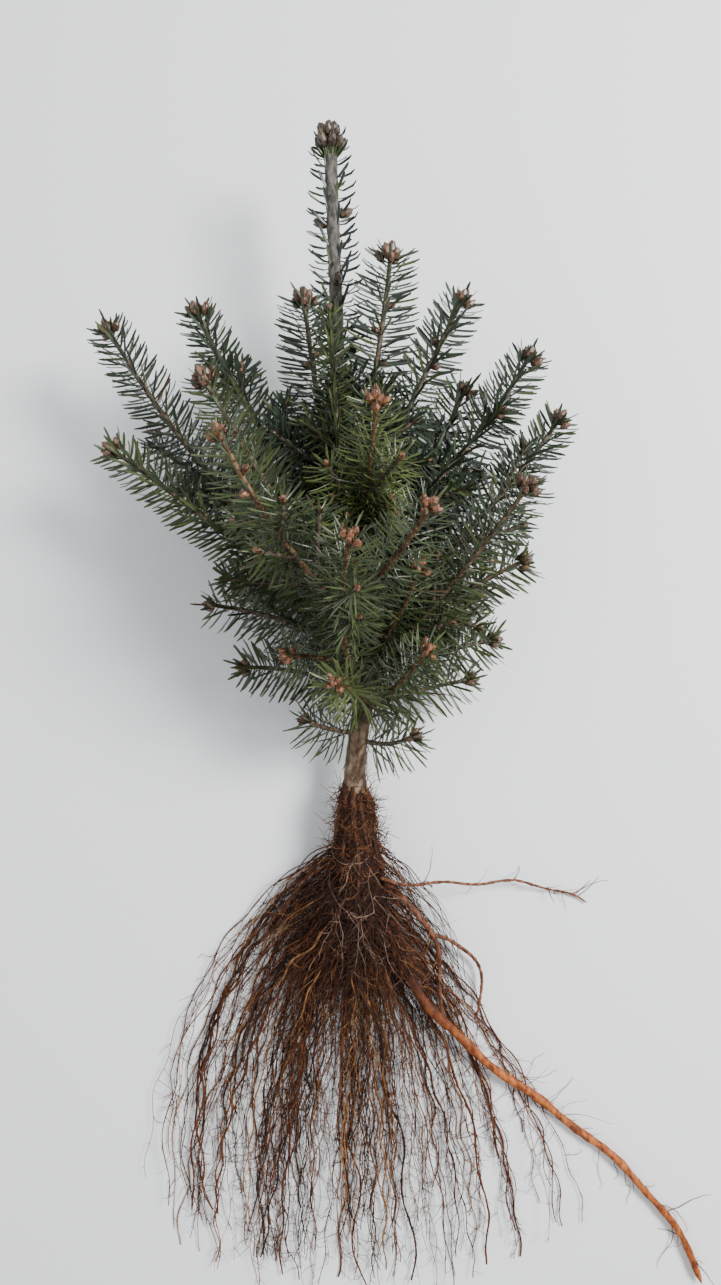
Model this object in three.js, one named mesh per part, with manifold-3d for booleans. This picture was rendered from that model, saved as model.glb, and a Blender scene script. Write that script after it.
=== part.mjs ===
// A young balsam fir, lifted with bare roots and laid on its back on a level floor.
// Millimetres. +Y runs up the stem, +X to its right, +Z up from the floor.
// Every place is first worked out from the root collar's shadow on the floor, and the whole
// plant is moved at the end so that the origin lies under the middle of it.
import * as THREE from 'three';
import { mergeVertices } from 'three/addons/utils/BufferGeometryUtils.js';
import Module from 'manifold-3d';

const wasm = await Module();
wasm.setup();

// Clearance between solids that meet, and a little more where one is cut to clear another
const GAP = 0.3;
const CUT_GAP = 0.38;

// Corners lie on a grid of this pitch
const GRID = 0.01;

// The stem: lengths run along it from the root collar, which is the flat cut at ground level
const STEM_LENGTH = 341;
const COLLAR_HEIGHT = 24;
const STEM_RISE = 7.5;
const STEM_LEAN = 2.1;
const CROOK = 9;
const CROOK_SPAN = 150;
const STEM_SIDES = 12;
const STEM_STEPS = 22;
const STEM_TAPER = [
  { at: 0, radius: 7.4 },
  { at: 9, radius: 6.0 },
  { at: 50, radius: 5.0 },
  { at: 92, radius: 4.2 },
  { at: 139, radius: 3.4 },
  { at: 164, radius: 3.0 },
  { at: 169, radius: 2.1 },
  { at: 341, radius: 1.6 },
];

// The leader's bark is a sleeve round the top of the stem, and carries its needles and buds
const LEADER_FROM = 170;
const LEADER_WALL = 0.55;
const LEADER_CAP = 4;
const LEADER_BUDS = [
  { at: 201, round: 200 },
  { at: 234, round: 10 },
  { at: 268, round: 80 },
  { at: 298, round: 185 },
  { at: 303, round: -5 },
];

// A shoot's thickness, and its needles and buds
const SHOOT_ROOT = 1.1;
const SHOOT_THICKENING = 0.006;
const SHOOT_TIP = 0.95;
const SHOOT_SIDES = 4;
const BOUGH_SIDES = 6;
const LIMB_STEPS = 3;
const NEEDLE_LENGTH = 21;
const NEEDLE_WIDTH = 3.0;
const NEEDLE_THICKNESS = 1.1;
const NEEDLE_SPACING = 4.5;
const NEEDLE_FOOT = 0.4;
const COMB = 0.55;
const GOLDEN_ANGLE = 137.5;
const BUD_LENGTH = 7;
const BUD_RADIUS = 2.3;
const CLUSTER_RADIUS = 3.6;
const BUD_LOBE = 0.3;
const FLOOR_CLEARANCE = 0.3;

// Limbs. on and at say where each leaves the stem (mm up it) or a bough (part of its length).
// heading is in degrees from straight up the stem, + to the right; climb is in degrees above
// the level. bow and lift are how far the middle swings to the limb's left and upwards.
// bough is the part of the length that is bare wood, a limb of its own. twigs are side shoots.
const LIMBS = [
  { name: 'top_right_inner', at: 143, heading: 10, climb: 17, length: 139, bow: -2 },
  { name: 'top_left_inner', at: 138, heading: -10, climb: 17, length: 123, bow: 2 },
  { name: 'top_front', at: 134, heading: -4, climb: 27, length: 122, bow: 1 },
  { name: 'middle_front', at: 128, heading: 11, climb: 46, length: 99, bow: -3 },
  { name: 'top_right', at: 136, heading: 26, climb: 13, length: 137, bow: 1 },
  {
    name: 'top_left', at: 139, heading: -34, climb: 13, length: 137, bow: 5.5, bough: 0.28,
    twigs: [{ at: 0.65, turn: 32, length: 16 }, { at: 0.73, turn: -30, length: 12 }],
  },
  {
    name: 'right_upper', at: 133, heading: 44, climb: 10, length: 136, bow: -9, bough: 0.28,
    twigs: [{ at: 0.7, turn: 28, length: 20 }],
  },
  { name: 'right_back', at: 124, heading: 33, climb: 2, length: 111, bow: -5 },
  { name: 'right_inner', at: 120, heading: 29, climb: -6, length: 92, bow: -4 },
  { name: 'rear_centre', at: 112, heading: -1, climb: -16, length: 93, bow: 2 },
  {
    name: 'left_high', at: 100, heading: -42, climb: 7, length: 196, bow: 11, bough: 0.26,
    twigs: [{ at: 0.47, turn: -14, drop: -16, length: 52 }],
  },
  {
    name: 'right_high', at: 96, heading: 45, climb: 10, length: 146, bow: -7, bough: 0.28,
    twigs: [{ at: 0.68, turn: -20, length: 26 }],
  },
  { name: 'rear_left', at: 92, heading: -35, climb: -11, length: 118, bow: 3, bough: 0.3 },
  { name: 'rear_right', at: 88, heading: 35, climb: -11, length: 113, bow: -3, bough: 0.3 },
  { name: 'left_middle', at: 85, heading: -32, climb: 23, length: 159, bow: 1, bough: 0.28 },
  { name: 'left_low', at: 80, heading: -52, climb: 12, length: 167, bow: -2, bough: 0.28 },
  { name: 'left_twig', at: 76, heading: -72, climb: 1, length: 88, bow: -4, needles: 0.55 },
  { name: 'right_middle', at: 78, heading: 60, climb: 15, length: 97, bow: 2, bough: 0.3 },
  { name: 'rear_low_left', at: 74, heading: -60, climb: -16, length: 86, bow: 3 },
  { name: 'front_low_right', at: 72, heading: 28, climb: 50, length: 82, bow: -3 },
  { name: 'rear_low_right', at: 70, heading: 57, climb: -19, length: 80, bow: -3 },
  { name: 'left_base_front', at: 66, heading: -76, climb: 49, length: 62, bow: -3 },
  { name: 'right_front', at: 62, heading: 39, climb: 31, length: 141, bow: -2, bough: 0.28 },
  { name: 'right_low', at: 60, heading: 71, climb: 5, length: 73, bow: 3, bough: 0.3 },
  { name: 'front', at: 56, heading: -17, climb: 46, length: 70, bow: 3, lift: 5, bough: 1 },
  { name: 'left_base', at: 54, heading: -77, climb: 3, length: 67, bow: -4, bough: 0.3 },
  { name: 'front_base_left', at: 50, heading: -47, climb: 74, length: 70, bow: 3 },
  { name: 'front_base_right', at: 46, heading: 43, climb: 56, length: 80, bow: -3 },
  { name: 'right_base', at: 45, heading: 74, climb: 0, length: 61, bow: 2, needles: 0.7 },
  { name: 'base_left', at: 33, heading: -73, climb: 40, length: 37, bow: 2 },
  { name: 'base_right', at: 29, heading: 85, climb: 29, length: 34, bow: -3 },
  { name: 'front_left', on: 'front', at: 1, heading: -35, climb: 34, length: 105, bow: 4 },
  { name: 'front_right', on: 'front', at: 0.9, heading: 42, climb: 44, length: 86, bow: -3 },
  { name: 'front_centre', on: 'front', at: 0.62, heading: 4, climb: 60, length: 94, bow: 2 },
];

// The root stock: a lump of matted fibres that hangs from the collar and rests on the floor
const STOCK_LENGTH = 94;
const STOCK_SINK = 12.4;
const STOCK_LEAN = 3.4;
const STOCK_SIDES = 10;
const STOCK_STEPS = 9;
const STOCK_RIDGES = 0.13;
const STOCK_FIBRES = 40;
const FIBRE_LENGTH = 26;
const FIBRE_RADIUS = 1.5;
const STRAND_STEPS = 8;
const STOCK_TAPER = [
  { at: 0, radius: 6.8 },
  { at: 10, radius: 9.5 },
  { at: 34, radius: 15 },
  { at: 62, radius: 18 },
  { at: 84, radius: 14 },
  { at: 94, radius: 6 },
];

// Roots. right, down and height are where each leaves the stock. Headings are in degrees from
// straight down, + to the right: each turns evenly from one to the other and swings out between.
// settle is the part of its length on which it comes down to the floor. Sides are side roots.
const ROOTS = [
  {
    name: 'root_long', right: 17, down: 76, height: 20, from: 17, to: 20, swing: 35, length: 286,
    thick: 3.4, thin: 1.9, settle: 0.55, rest: 3.2, wave: 5, waves: 5, steps: 22, sides: 7,
    look: 'longRoot', branches: [],
  },
  {
    name: 'root_medium', right: 12, down: 53, height: 17, from: 74, to: -5, swing: -15, length: 98,
    thick: 1.7, thin: 1.0, settle: 1, rest: 7, wave: 8, waves: 2, steps: 9, sides: 5,
    look: 'longRoot', branches: [{ at: 0.47, from: 84, to: -32, length: 66, rest: 5 }],
  },
  {
    name: 'root_thin_right', right: 14, down: 48, height: 27, from: 78, to: 57, swing: 20,
    length: 124, thick: 0.95, thin: 0.7, settle: 1, rest: 1.2, wave: 10, waves: 3, steps: 10,
    sides: 4, look: 'root', branches: [],
  },
  {
    name: 'roots_far_left', right: -11, down: 52, height: 10, from: -52, to: 5, swing: 0,
    length: 236, thick: 1.2, thin: 0.7, settle: 0.3, rest: 0.9, wave: 14, waves: 4, steps: 12,
    sides: 3, look: 'root', strands: 4,
  },
  {
    name: 'roots_left', right: -9, down: 72, height: 8, from: -30, to: 3, swing: 0,
    length: 214, thick: 1.2, thin: 0.7, settle: 0.3, rest: 0.9, wave: 14, waves: 4, steps: 11,
    sides: 3, look: 'root', strands: 4,
  },
  {
    name: 'roots_middle', right: -4, down: 84, height: 7, from: -8, to: 0, swing: 0,
    length: 204, thick: 1.2, thin: 0.7, settle: 0.3, rest: 0.9, wave: 15, waves: 4, steps: 11,
    sides: 3, look: 'root', strands: 3,
  },
  {
    name: 'roots_right', right: 5, down: 84, height: 7, from: 14, to: -2, swing: 0,
    length: 196, thick: 1.2, thin: 0.7, settle: 0.3, rest: 0.9, wave: 14, waves: 4, steps: 11,
    sides: 3, look: 'root', strands: 3,
  },
  {
    name: 'roots_far_right', right: 11, down: 80, height: 8, from: 32, to: 2, swing: 0,
    length: 206, thick: 1.2, thin: 0.7, settle: 0.3, rest: 0.9, wave: 12, waves: 4, steps: 11,
    sides: 3, look: 'root', strands: 4,
  },
];

// Bark and foliage colours
const WOOD = { color: 0x6b5a48, roughness: 0.85, metalness: 0 };
const FOLIAGE = { color: 0x3c5a3a, roughness: 0.6, metalness: 0 };
const LEADER_COLOUR = { color: 0x7d7a70, roughness: 0.7, metalness: 0 };
const ROOT_LOOKS = {
  root: { color: 0x5a3220, roughness: 0.9, metalness: 0 },
  longRoot: { color: 0xa8552a, roughness: 0.75, metalness: 0 },
};

const UP = new THREE.Vector3(0, 0, 1);
const NORTH = new THREE.Vector3(0, 1, 0);
const radians = THREE.MathUtils.degToRad;

// A number from 0 to 1 that is always the same for the same seed
function chance(seed) {
  const value = Math.sin(seed * 12.9898) * 43758.5453;
  return value - Math.floor(value);
}

// A direction from its heading and its climb
function direction(heading, climb) {
  const level = Math.cos(radians(climb));
  return new THREE.Vector3(
    Math.sin(radians(heading)) * level,
    Math.cos(radians(heading)) * level,
    Math.sin(radians(climb)),
  );
}

// Two directions square to a third, one of them as level as it can be
function crossAxes(along) {
  const reference = Math.abs(along.z) > 0.9 ? NORTH : UP;
  const side = new THREE.Vector3().crossVectors(along, reference).normalize();
  const out = new THREE.Vector3().crossVectors(side, along).normalize();
  return { side, out };
}

function stemPoint(height) {
  const swing = height < CROOK_SPAN ? Math.sin(Math.PI * height / CROOK_SPAN) ** 2 : 0;
  return new THREE.Vector3(
    CROOK * swing - height * Math.tan(radians(STEM_LEAN)),
    height * Math.cos(radians(STEM_RISE)),
    COLLAR_HEIGHT + height * Math.sin(radians(STEM_RISE)),
  );
}

// A thickness read from a list of places along a length
function taperRadius(taper, distance) {
  const place = THREE.MathUtils.clamp(distance, 0.001, taper.at(-1).at);
  const next = taper.findIndex((row) => row.at >= place);
  const low = taper[next - 1];
  const high = taper[next];
  return THREE.MathUtils.mapLinear(place, low.at, high.at, low.radius, high.radius);
}

function stemRadius(height) {
  return taperRadius(STEM_TAPER, height);
}

// A limb's middle line: straight at its heading and climb, with its middle swung out
function limbSpine(row, start) {
  const along = direction(row.heading, row.climb);
  const { side, out } = crossAxes(along);
  return (part) => {
    const swell = 4 * part * (1 - part);
    return start.clone()
      .addScaledVector(along, row.length * part)
      .addScaledVector(side, -row.bow * swell)
      .addScaledVector(out, (row.lift ?? 0) * swell);
  };
}

function limbRadius(row, part) {
  const root = SHOOT_ROOT + SHOOT_THICKENING * row.length;
  return THREE.MathUtils.lerp(root, SHOOT_TIP, part);
}

// A round tube bent along a line, from one part of it to another
function bentTube(spine, radius, from, to, sides, steps) {
  const geometry = new THREE.CylinderGeometry(1, 1, 1, sides, steps);
  const places = geometry.attributes.position;
  const step = (to - from) / steps;
  for (let i = 0; i < places.count; i += 1) {
    const part = from + (places.getY(i) + 0.5) * (to - from);
    const along = spine(part + step / 4).sub(spine(part - step / 4)).normalize();
    const { side, out } = crossAxes(along);
    const turn = Math.atan2(places.getZ(i), places.getX(i));
    const reach = radius(part, turn);
    const place = spine(part)
      .addScaledVector(side, places.getX(i) * reach)
      .addScaledVector(out, places.getZ(i) * reach);
    places.setXYZ(i, place.x, place.y, Math.max(place.z, 0));
  }
  return geometry;
}

// A needle: a flat three-sided blade with a narrow foot and a blunt tip
function needleBlade(from, to, ridge, width) {
  const geometry = new THREE.CylinderGeometry(1, NEEDLE_FOOT, 1, 3, 1);
  const places = geometry.attributes.position;
  const along = to.clone().sub(from);
  const across = new THREE.Vector3().crossVectors(along, ridge).normalize();
  const outwards = new THREE.Vector3().crossVectors(across, along).normalize();
  for (let i = 0; i < places.count; i += 1) {
    const place = from.clone()
      .addScaledVector(along, places.getY(i) + 0.5)
      .addScaledVector(across, places.getX(i) * width / Math.sqrt(3))
      .addScaledVector(outwards, places.getZ(i) * NEEDLE_THICKNESS / 1.5);
    places.setXYZ(i, place.x, place.y, Math.max(place.z, 0));
  }
  return geometry;
}

// A rootlet: a three-sided taper
function fibreTaper(from, to) {
  const geometry = new THREE.ConeGeometry(1, 1, 3, 1);
  const places = geometry.attributes.position;
  const along = to.clone().sub(from);
  const { side, out } = crossAxes(along.clone().normalize());
  for (let i = 0; i < places.count; i += 1) {
    const place = from.clone()
      .addScaledVector(along, places.getY(i) + 0.5)
      .addScaledVector(side, places.getX(i) * FIBRE_RADIUS)
      .addScaledVector(out, places.getZ(i) * FIBRE_RADIUS);
    places.setXYZ(i, place.x, place.y, Math.max(place.z, 0));
  }
  return geometry;
}

// An egg-shaped bud along a line, or a cluster of them where it has lobes: round the middle bud
// the others bulge out between grooves
function budShape(from, to, radius, lobes) {
  const segments = lobes > 0 ? 2 * lobes : 4;
  const geometry = new THREE.SphereGeometry(1, segments, lobes > 0 ? 4 : 3);
  const places = geometry.attributes.position;
  const along = to.clone().sub(from);
  const { side, out } = crossAxes(along.clone().normalize());
  for (let i = 0; i < places.count; i += 1) {
    const turn = Math.atan2(places.getZ(i), places.getX(i));
    const bulge = 1 + BUD_LOBE * Math.cos(lobes * turn);
    const swell = lobes > 0 ? bulge : 1;
    const place = from.clone()
      .addScaledVector(along, (places.getY(i) + 1) / 2)
      .addScaledVector(side, places.getX(i) * radius * swell)
      .addScaledVector(out, places.getZ(i) * radius * swell);
    places.setXYZ(i, place.x, place.y, Math.max(place.z, 0));
  }
  return geometry;
}

function toSolid(geometry) {
  geometry.deleteAttribute('normal');
  geometry.deleteAttribute('uv');
  const merged = mergeVertices(geometry, 1e-4);
  return new wasm.Manifold(new wasm.Mesh({
    numProp: 3,
    vertProperties: merged.attributes.position.array,
    triVerts: new Uint32Array(merged.index.array),
  }));
}

// The biggest connected piece, so that scraps and sealed hollows are dropped
function mainPiece(solid) {
  const pieces = solid.decompose();
  return pieces.reduce((best, piece) => (piece.volume() > best.volume() ? piece : best));
}

const plant = new THREE.Group();
const crown = new THREE.Group();
const roots = new THREE.Group();
plant.add(crown, roots);

function toGrid(value) {
  return Math.round(value / GRID) * GRID;
}

// The solid's corners on a fine grid, so that no edge is too short to weld, and the triangles
// that this flattens dropped
function gridGeometry(solid, place) {
  const mesh = solid.getMesh();
  const geometry = new THREE.BufferGeometry();
  geometry.setAttribute('position', new THREE.BufferAttribute(mesh.vertProperties, 3));
  geometry.setIndex(new THREE.BufferAttribute(mesh.triVerts, 1));
  geometry.translate(-place.x, -place.y, -place.z);
  geometry.attributes.position.array.forEach((value, i, all) => {
    all[i] = toGrid(value);
  });
  const merged = mergeVertices(geometry, GRID / 4);
  const corners = [];
  for (let i = 0; i < merged.index.count; i += 3) {
    const triple = [0, 1, 2].map((k) => merged.index.getX(i + k));
    if (new Set(triple).size === 3) corners.push(...triple);
  }
  merged.setIndex(corners);
  return merged;
}

function addSolid(name, solid, look, near, group) {
  const place = near.clone().set(toGrid(near.x), toGrid(near.y), toGrid(near.z));
  const geometry = gridGeometry(mainPiece(solid).asOriginal().simplify(0.05), place);
  const piece = new THREE.Mesh(geometry, new THREE.MeshStandardMaterial(look));
  piece.name = name;
  piece.position.copy(place);
  group.add(piece);
}

// Space that is already taken, as round-ended rods, so that needles and twigs keep clear of it
const taken = [];

function claim(owner, from, to, radius) {
  taken.push({ owner, from, to, radius });
}

function claimTube(owner, spine, radius, from, to, steps) {
  for (let i = 0; i < steps; i += 1) {
    const low = from + (to - from) * i / steps;
    const high = from + (to - from) * (i + 1) / steps;
    claim(owner, spine(low), spine(high), radius(low));
  }
}

// The shortest distance between two straight lines of limited length
function lineGap(a, b, c, d) {
  const first = b.clone().sub(a);
  const second = d.clone().sub(c);
  const between = a.clone().sub(c);
  const aa = first.dot(first);
  const bb = second.dot(second);
  const ab = first.dot(second);
  const ar = first.dot(between);
  const br = second.dot(between);
  const spread = aa * bb - ab * ab;
  let s = spread > 1e-9 ? THREE.MathUtils.clamp((ab * br - ar * bb) / spread, 0, 1) : 0;
  const t = THREE.MathUtils.clamp((ab * s + br) / bb, 0, 1);
  s = THREE.MathUtils.clamp((ab * t - ar) / aa, 0, 1);
  return a.clone().addScaledVector(first, s).distanceTo(c.clone().addScaledVector(second, t));
}

function isClear(owner, from, to, radius) {
  return taken.every((rod) => {
    if (rod.owner === owner) return true;
    if (rod.owner === 'stem' && owner === 'foliage_leader') return true;
    return lineGap(from, to, rod.from, rod.to) > radius + rod.radius + GAP;
  });
}

// Needles along a shoot, each turned on from the last by the golden angle and combed to the
// sides. They lean forward more towards the tip, and bend up where the floor is in their way.
function growNeedles(shoot, pieces) {
  const { owner, spine, length, from, seed, size } = shoot;
  const count = Math.round(length * (1 - from) * shoot.share / NEEDLE_SPACING);
  const width = NEEDLE_WIDTH * size;
  for (let i = 0; i < count; i += 1) {
    const part = from + (1 - from) * (i + 0.5) / count;
    const along = spine(part + 0.01).sub(spine(part - 0.01)).normalize();
    const { side, out } = crossAxes(along);
    const turn = radians(GOLDEN_ANGLE * i + 20 * chance(seed + i));
    const away = side.clone().multiplyScalar(Math.sin(turn));
    away.addScaledVector(out, COMB * Math.cos(turn)).normalize();
    const lean = radians(THREE.MathUtils.lerp(70, 42, part ** 3) + 8 * chance(seed + 2 * i));
    const full = NEEDLE_LENGTH * size * (0.9 + 0.15 * chance(seed + 3 * i));
    const reach = full * (1 - 0.3 * part ** 4);
    const root = spine(part);
    const tip = root.clone()
      .addScaledVector(away, Math.sin(lean) * reach)
      .addScaledVector(along, Math.cos(lean) * reach);
    tip.z = Math.max(tip.z, FLOOR_CLEARANCE);
    if (isClear(owner, root, tip, width / 2)) {
      claim(owner, root, tip, width / 2);
      pieces.push(toSolid(needleBlade(root, tip, along, width)));
    }
  }
}

// The cluster of buds at a shoot's tip
function growTipBuds(owner, spine, lobes, size, pieces) {
  const along = spine(1).sub(spine(0.97)).normalize();
  const base = spine(1).addScaledVector(along, -1.5);
  const tip = base.clone().addScaledVector(along, BUD_LENGTH * size + 1.5);
  const radius = CLUSTER_RADIUS * size;
  if (isClear(owner, base, tip, radius * (1 + BUD_LOBE))) {
    claim(owner, base, tip, radius * (1 + BUD_LOBE));
    pieces.push(toSolid(budShape(base, tip, radius, lobes)));
  }
}

// Spines of the limbs, each from where it leaves the stem or its bough
const spines = {};
for (const row of LIMBS) {
  const start = row.on ? spines[row.on](row.at) : stemPoint(row.at);
  spines[row.name] = limbSpine(row, start);
}

function twigRow(row, twig) {
  return {
    heading: row.heading + twig.turn,
    climb: row.climb + (twig.drop ?? 0),
    length: twig.length,
    bow: 0,
  };
}

// All wood takes its space before any needle grows
const stemSpine = (part) => stemPoint(part * STEM_LENGTH);
claimTube('stem', stemSpine, (part) => stemRadius(part * STEM_LENGTH) + 1, 0, 1, STEM_STEPS);
for (const row of LIMBS) {
  const share = row.bough ?? 0;
  const thickness = (part) => limbRadius(row, part);
  if (share > 0) claimTube(`bough_${row.name}`, spines[row.name], thickness, 0, share, 3);
  if (share < 1) {
    const clearStart = share > 0 ? share : 0.1;
    claimTube(`foliage_${row.name}`, spines[row.name], thickness, clearStart, 1, LIMB_STEPS);
  }
}

// The stem, whole from the collar to its tip
function makeStem() {
  const radius = (part) => stemRadius(part * STEM_LENGTH);
  const solid = toSolid(bentTube(stemSpine, radius, 0, 1, STEM_SIDES, STEM_STEPS));
  addSolid('trunk', solid, WOOD, stemPoint(0), crown);
}

function grownStem(extra) {
  const radius = (part) => stemRadius(part * STEM_LENGTH) + extra;
  const end = 1 + extra / STEM_LENGTH;
  return toSolid(bentTube(stemSpine, radius, -0.01, end, STEM_SIDES, STEM_STEPS));
}

// What a limb leaves, made a clearance thicker, to cut its foot with
function grownCarrier(row) {
  if (!row.on) return grownStem(CUT_GAP);
  const carrier = LIMBS.find((other) => other.name === row.on);
  const radius = (part) => limbRadius(carrier, part) + CUT_GAP;
  const end = 1 + CUT_GAP / carrier.length;
  return toSolid(bentTube(spines[row.on], radius, 0, end, BOUGH_SIDES, LIMB_STEPS));
}

function makeBough(row) {
  const radius = (part) => limbRadius(row, part);
  const end = row.bough === 1 ? 1 : row.bough - GAP / row.length;
  const tube = toSolid(bentTube(spines[row.name], radius, 0, end, BOUGH_SIDES, LIMB_STEPS));
  const solid = tube.subtract(grownCarrier(row));
  addSolid(`bough_${row.name}`, solid, WOOD, spines[row.name](end), crown);
}

function makeFoliage(row, seed) {
  const owner = `foliage_${row.name}`;
  const spine = spines[row.name];
  const from = row.bough ?? 0;
  const radius = (part) => limbRadius(row, part);
  const pieces = [toSolid(bentTube(spine, radius, from, 1, SHOOT_SIDES, LIMB_STEPS))];
  const bareFoot = from > 0 ? from : 8 / row.length;
  growTipBuds(owner, spine, row.length > 100 ? 4 : 3, 1, pieces);
  for (const twig of row.twigs ?? []) {
    const twigSpine = limbSpine(twigRow(row, twig), spine(twig.at));
    const twigRadius = () => SHOOT_TIP;
    if (isClear(owner, twigSpine(0.1), twigSpine(1), SHOOT_TIP)) {
      claim(owner, twigSpine(0), twigSpine(1), SHOOT_TIP);
      pieces.push(toSolid(bentTube(twigSpine, twigRadius, 0, 1, SHOOT_SIDES, 1)));
      growTipBuds(owner, twigSpine, 3, 0.8, pieces);
      const tuft = { owner, spine: twigSpine, length: twig.length, from: 0.15, share: 1 };
      growNeedles({ ...tuft, seed: seed + 50, size: 0.85 }, pieces);
    }
  }
  const share = row.needles ?? 1;
  growNeedles({ owner, spine, length: row.length, from: bareFoot, share, seed, size: 1 }, pieces);
  let solid = wasm.Manifold.union(pieces);
  if (from === 0) solid = solid.subtract(grownCarrier(row));
  addSolid(owner, solid, FOLIAGE, spine(1), crown);
}

// The leader: bark, needles all round, side buds and a crown of buds at the tip
function makeLeader() {
  const owner = 'foliage_leader';
  const outer = (part) => stemRadius(part * STEM_LENGTH) + GAP + LEADER_WALL;
  const from = LEADER_FROM / STEM_LENGTH;
  const to = 1 + LEADER_CAP / STEM_LENGTH;
  const pieces = [toSolid(bentTube(stemSpine, outer, from, to, 8, 8))];
  const topSpine = (part) => stemSpine(to + (part - 1) * 0.1);
  growTipBuds(owner, topSpine, 5, 2, pieces);
  for (const bud of LEADER_BUDS) {
    const middle = stemPoint(bud.at);
    const away = new THREE.Vector3(Math.cos(radians(bud.round)), 0.5, Math.sin(radians(bud.round)));
    away.normalize();
    const base = middle.clone().addScaledVector(away, stemRadius(bud.at));
    const tip = base.clone().addScaledVector(away, BUD_LENGTH);
    claim(owner, base, tip, BUD_RADIUS);
    pieces.push(toSolid(budShape(base, tip, BUD_RADIUS, 0)));
  }
  const spine = (part) => stemSpine(from + part * (1 - from));
  const length = STEM_LENGTH - LEADER_FROM;
  growNeedles({ owner, spine, length, from: 0, share: 1.2, seed: 7, size: 0.7 }, pieces);
  const bore = grownStem(GAP);
  addSolid(owner, wasm.Manifold.union(pieces).subtract(bore), LEADER_COLOUR, stemPoint(LEADER_FROM), crown);
}

// The stock's middle line, from just under the collar down to the floor
function stockSpine(part) {
  const down = GAP + part * STOCK_LENGTH;
  return new THREE.Vector3(
    STOCK_LEAN * part,
    -down,
    COLLAR_HEIGHT - STOCK_SINK * part,
  );
}

function stockSolid(extra) {
  const radius = (part, turn) => {
    const ridge = Math.sin(3 * turn + 7 * part) + 0.6 * Math.sin(5 * turn - 9 * part);
    return taperRadius(STOCK_TAPER, part * STOCK_LENGTH) * (1 + STOCK_RIDGES * part * ridge) + extra;
  };
  const end = 1 + extra / STOCK_LENGTH;
  return toSolid(bentTube(stockSpine, radius, 0, end, STOCK_SIDES, STOCK_STEPS));
}

function makeStock() {
  const pieces = [stockSolid(0)];
  for (let i = 0; i < STOCK_FIBRES; i += 1) {
    const part = 0.12 + 0.8 * i / STOCK_FIBRES;
    const turn = radians(GOLDEN_ANGLE * i);
    const away = new THREE.Vector3(Math.sin(turn), -0.8 - part, 0.6 * Math.cos(turn)).normalize();
    const root = stockSpine(part);
    const surface = taperRadius(STOCK_TAPER, part * STOCK_LENGTH) / Math.hypot(away.x, away.z);
    const tip = root.clone().addScaledVector(away, surface + FIBRE_LENGTH * (0.4 + chance(i)));
    tip.z = Math.max(tip.z, FLOOR_CLEARANCE);
    if (isClear('root_stock', root, tip, 1.6 * FIBRE_RADIUS)) {
      pieces.push(toSolid(fibreTaper(root, tip)));
    }
  }
  addSolid('root_stock', wasm.Manifold.union(pieces), ROOT_LOOKS.root, stockSpine(0), roots);
}

// A root's middle line: it wanders at its headings, and comes down to the floor
function rootSpine(row, start) {
  const steps = 60;
  const points = [start.clone()];
  for (let i = 0; i < steps; i += 1) {
    const part = (i + 0.5) / steps;
    const waver = row.wave * Math.sin(2 * Math.PI * row.waves * part + row.down);
    const turned = row.from + (row.to - row.from) * part + row.swing * Math.sin(Math.PI * part);
    const heading = radians(turned + waver);
    const place = points[i].clone();
    place.x += Math.sin(heading) * row.length / steps;
    place.y -= Math.cos(heading) * row.length / steps;
    const settled = THREE.MathUtils.smoothstep((i + 1) / steps, 0, row.settle);
    place.z = THREE.MathUtils.lerp(start.z, row.rest, settled);
    points.push(place);
  }
  return (part) => {
    const place = THREE.MathUtils.clamp(part, 0, 1) * steps;
    const index = Math.min(Math.floor(place), steps - 1);
    return points[index].clone().lerp(points[index + 1], place - index);
  };
}

function rootRadius(row) {
  return (part) => THREE.MathUtils.lerp(row.thick, row.thin, part);
}

// Every main root takes its space before any side root grows
const rootSpines = {};
for (const row of ROOTS) {
  const start = new THREE.Vector3(row.right, -row.down, row.height);
  rootSpines[row.name] = rootSpine(row, start);
  claimTube(row.name, rootSpines[row.name], rootRadius(row), 0.02, 1, row.steps);
}

// Fine strands that leave a main one in turn, left and right, and run down beside it
function strandRows(row) {
  return Array.from({ length: row.strands }, (_, i) => ({
    at: 0.06 + 0.09 * i,
    from: (i % 2 ? 1 : -1) * (18 + 12 * chance(row.down + i)) + row.from * 0.4,
    to: row.to,
    length: row.length * (0.55 + 0.3 * chance(row.right + 3 * i)),
  }));
}

function rootIsClear(owner, spine, radius) {
  const parts = Array.from({ length: STRAND_STEPS }, (_, i) => i / STRAND_STEPS);
  return parts.every((part) => {
    const next = part + 1 / STRAND_STEPS;
    return isClear(owner, spine(part), spine(next), radius);
  });
}

function makeRoot(row) {
  const spine = rootSpines[row.name];
  const radius = rootRadius(row);
  const pieces = [toSolid(bentTube(spine, radius, 0, 1, row.sides, row.steps))];
  for (const branch of row.branches ?? strandRows(row)) {
    const side = { ...row, settle: 0.5, swing: 0, down: row.down + 40 * branch.at, ...branch };
    const sideSpine = rootSpine(side, spine(branch.at));
    const sideRadius = (part) => radius(branch.at + 0.6 * part) * 0.85;
    if (rootIsClear(row.name, sideSpine, sideRadius(0))) {
      claimTube(row.name, sideSpine, sideRadius, 0, 1, STRAND_STEPS);
      pieces.push(toSolid(bentTube(sideSpine, sideRadius, 0, 1, row.sides, STRAND_STEPS)));
    }
  }
  const solid = wasm.Manifold.union(pieces).subtract(stockSolid(CUT_GAP));
  addSolid(row.name, solid, ROOT_LOOKS[row.look], spine(1), roots);
}

makeStem();
for (const row of LIMBS.filter((each) => each.bough)) makeBough(row);
makeLeader();
LIMBS.filter((row) => row.bough !== 1).forEach((row, index) => makeFoliage(row, 100 * index));
ROOTS.forEach(makeRoot);
makeStock();

// The origin goes under the middle of the whole plant, on the floor
const box = new THREE.Box3().setFromObject(plant);
const middle = box.getCenter(new THREE.Vector3());
plant.position.set(toGrid(-middle.x), toGrid(-middle.y), toGrid(-box.min.z));

export default plant;
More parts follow.
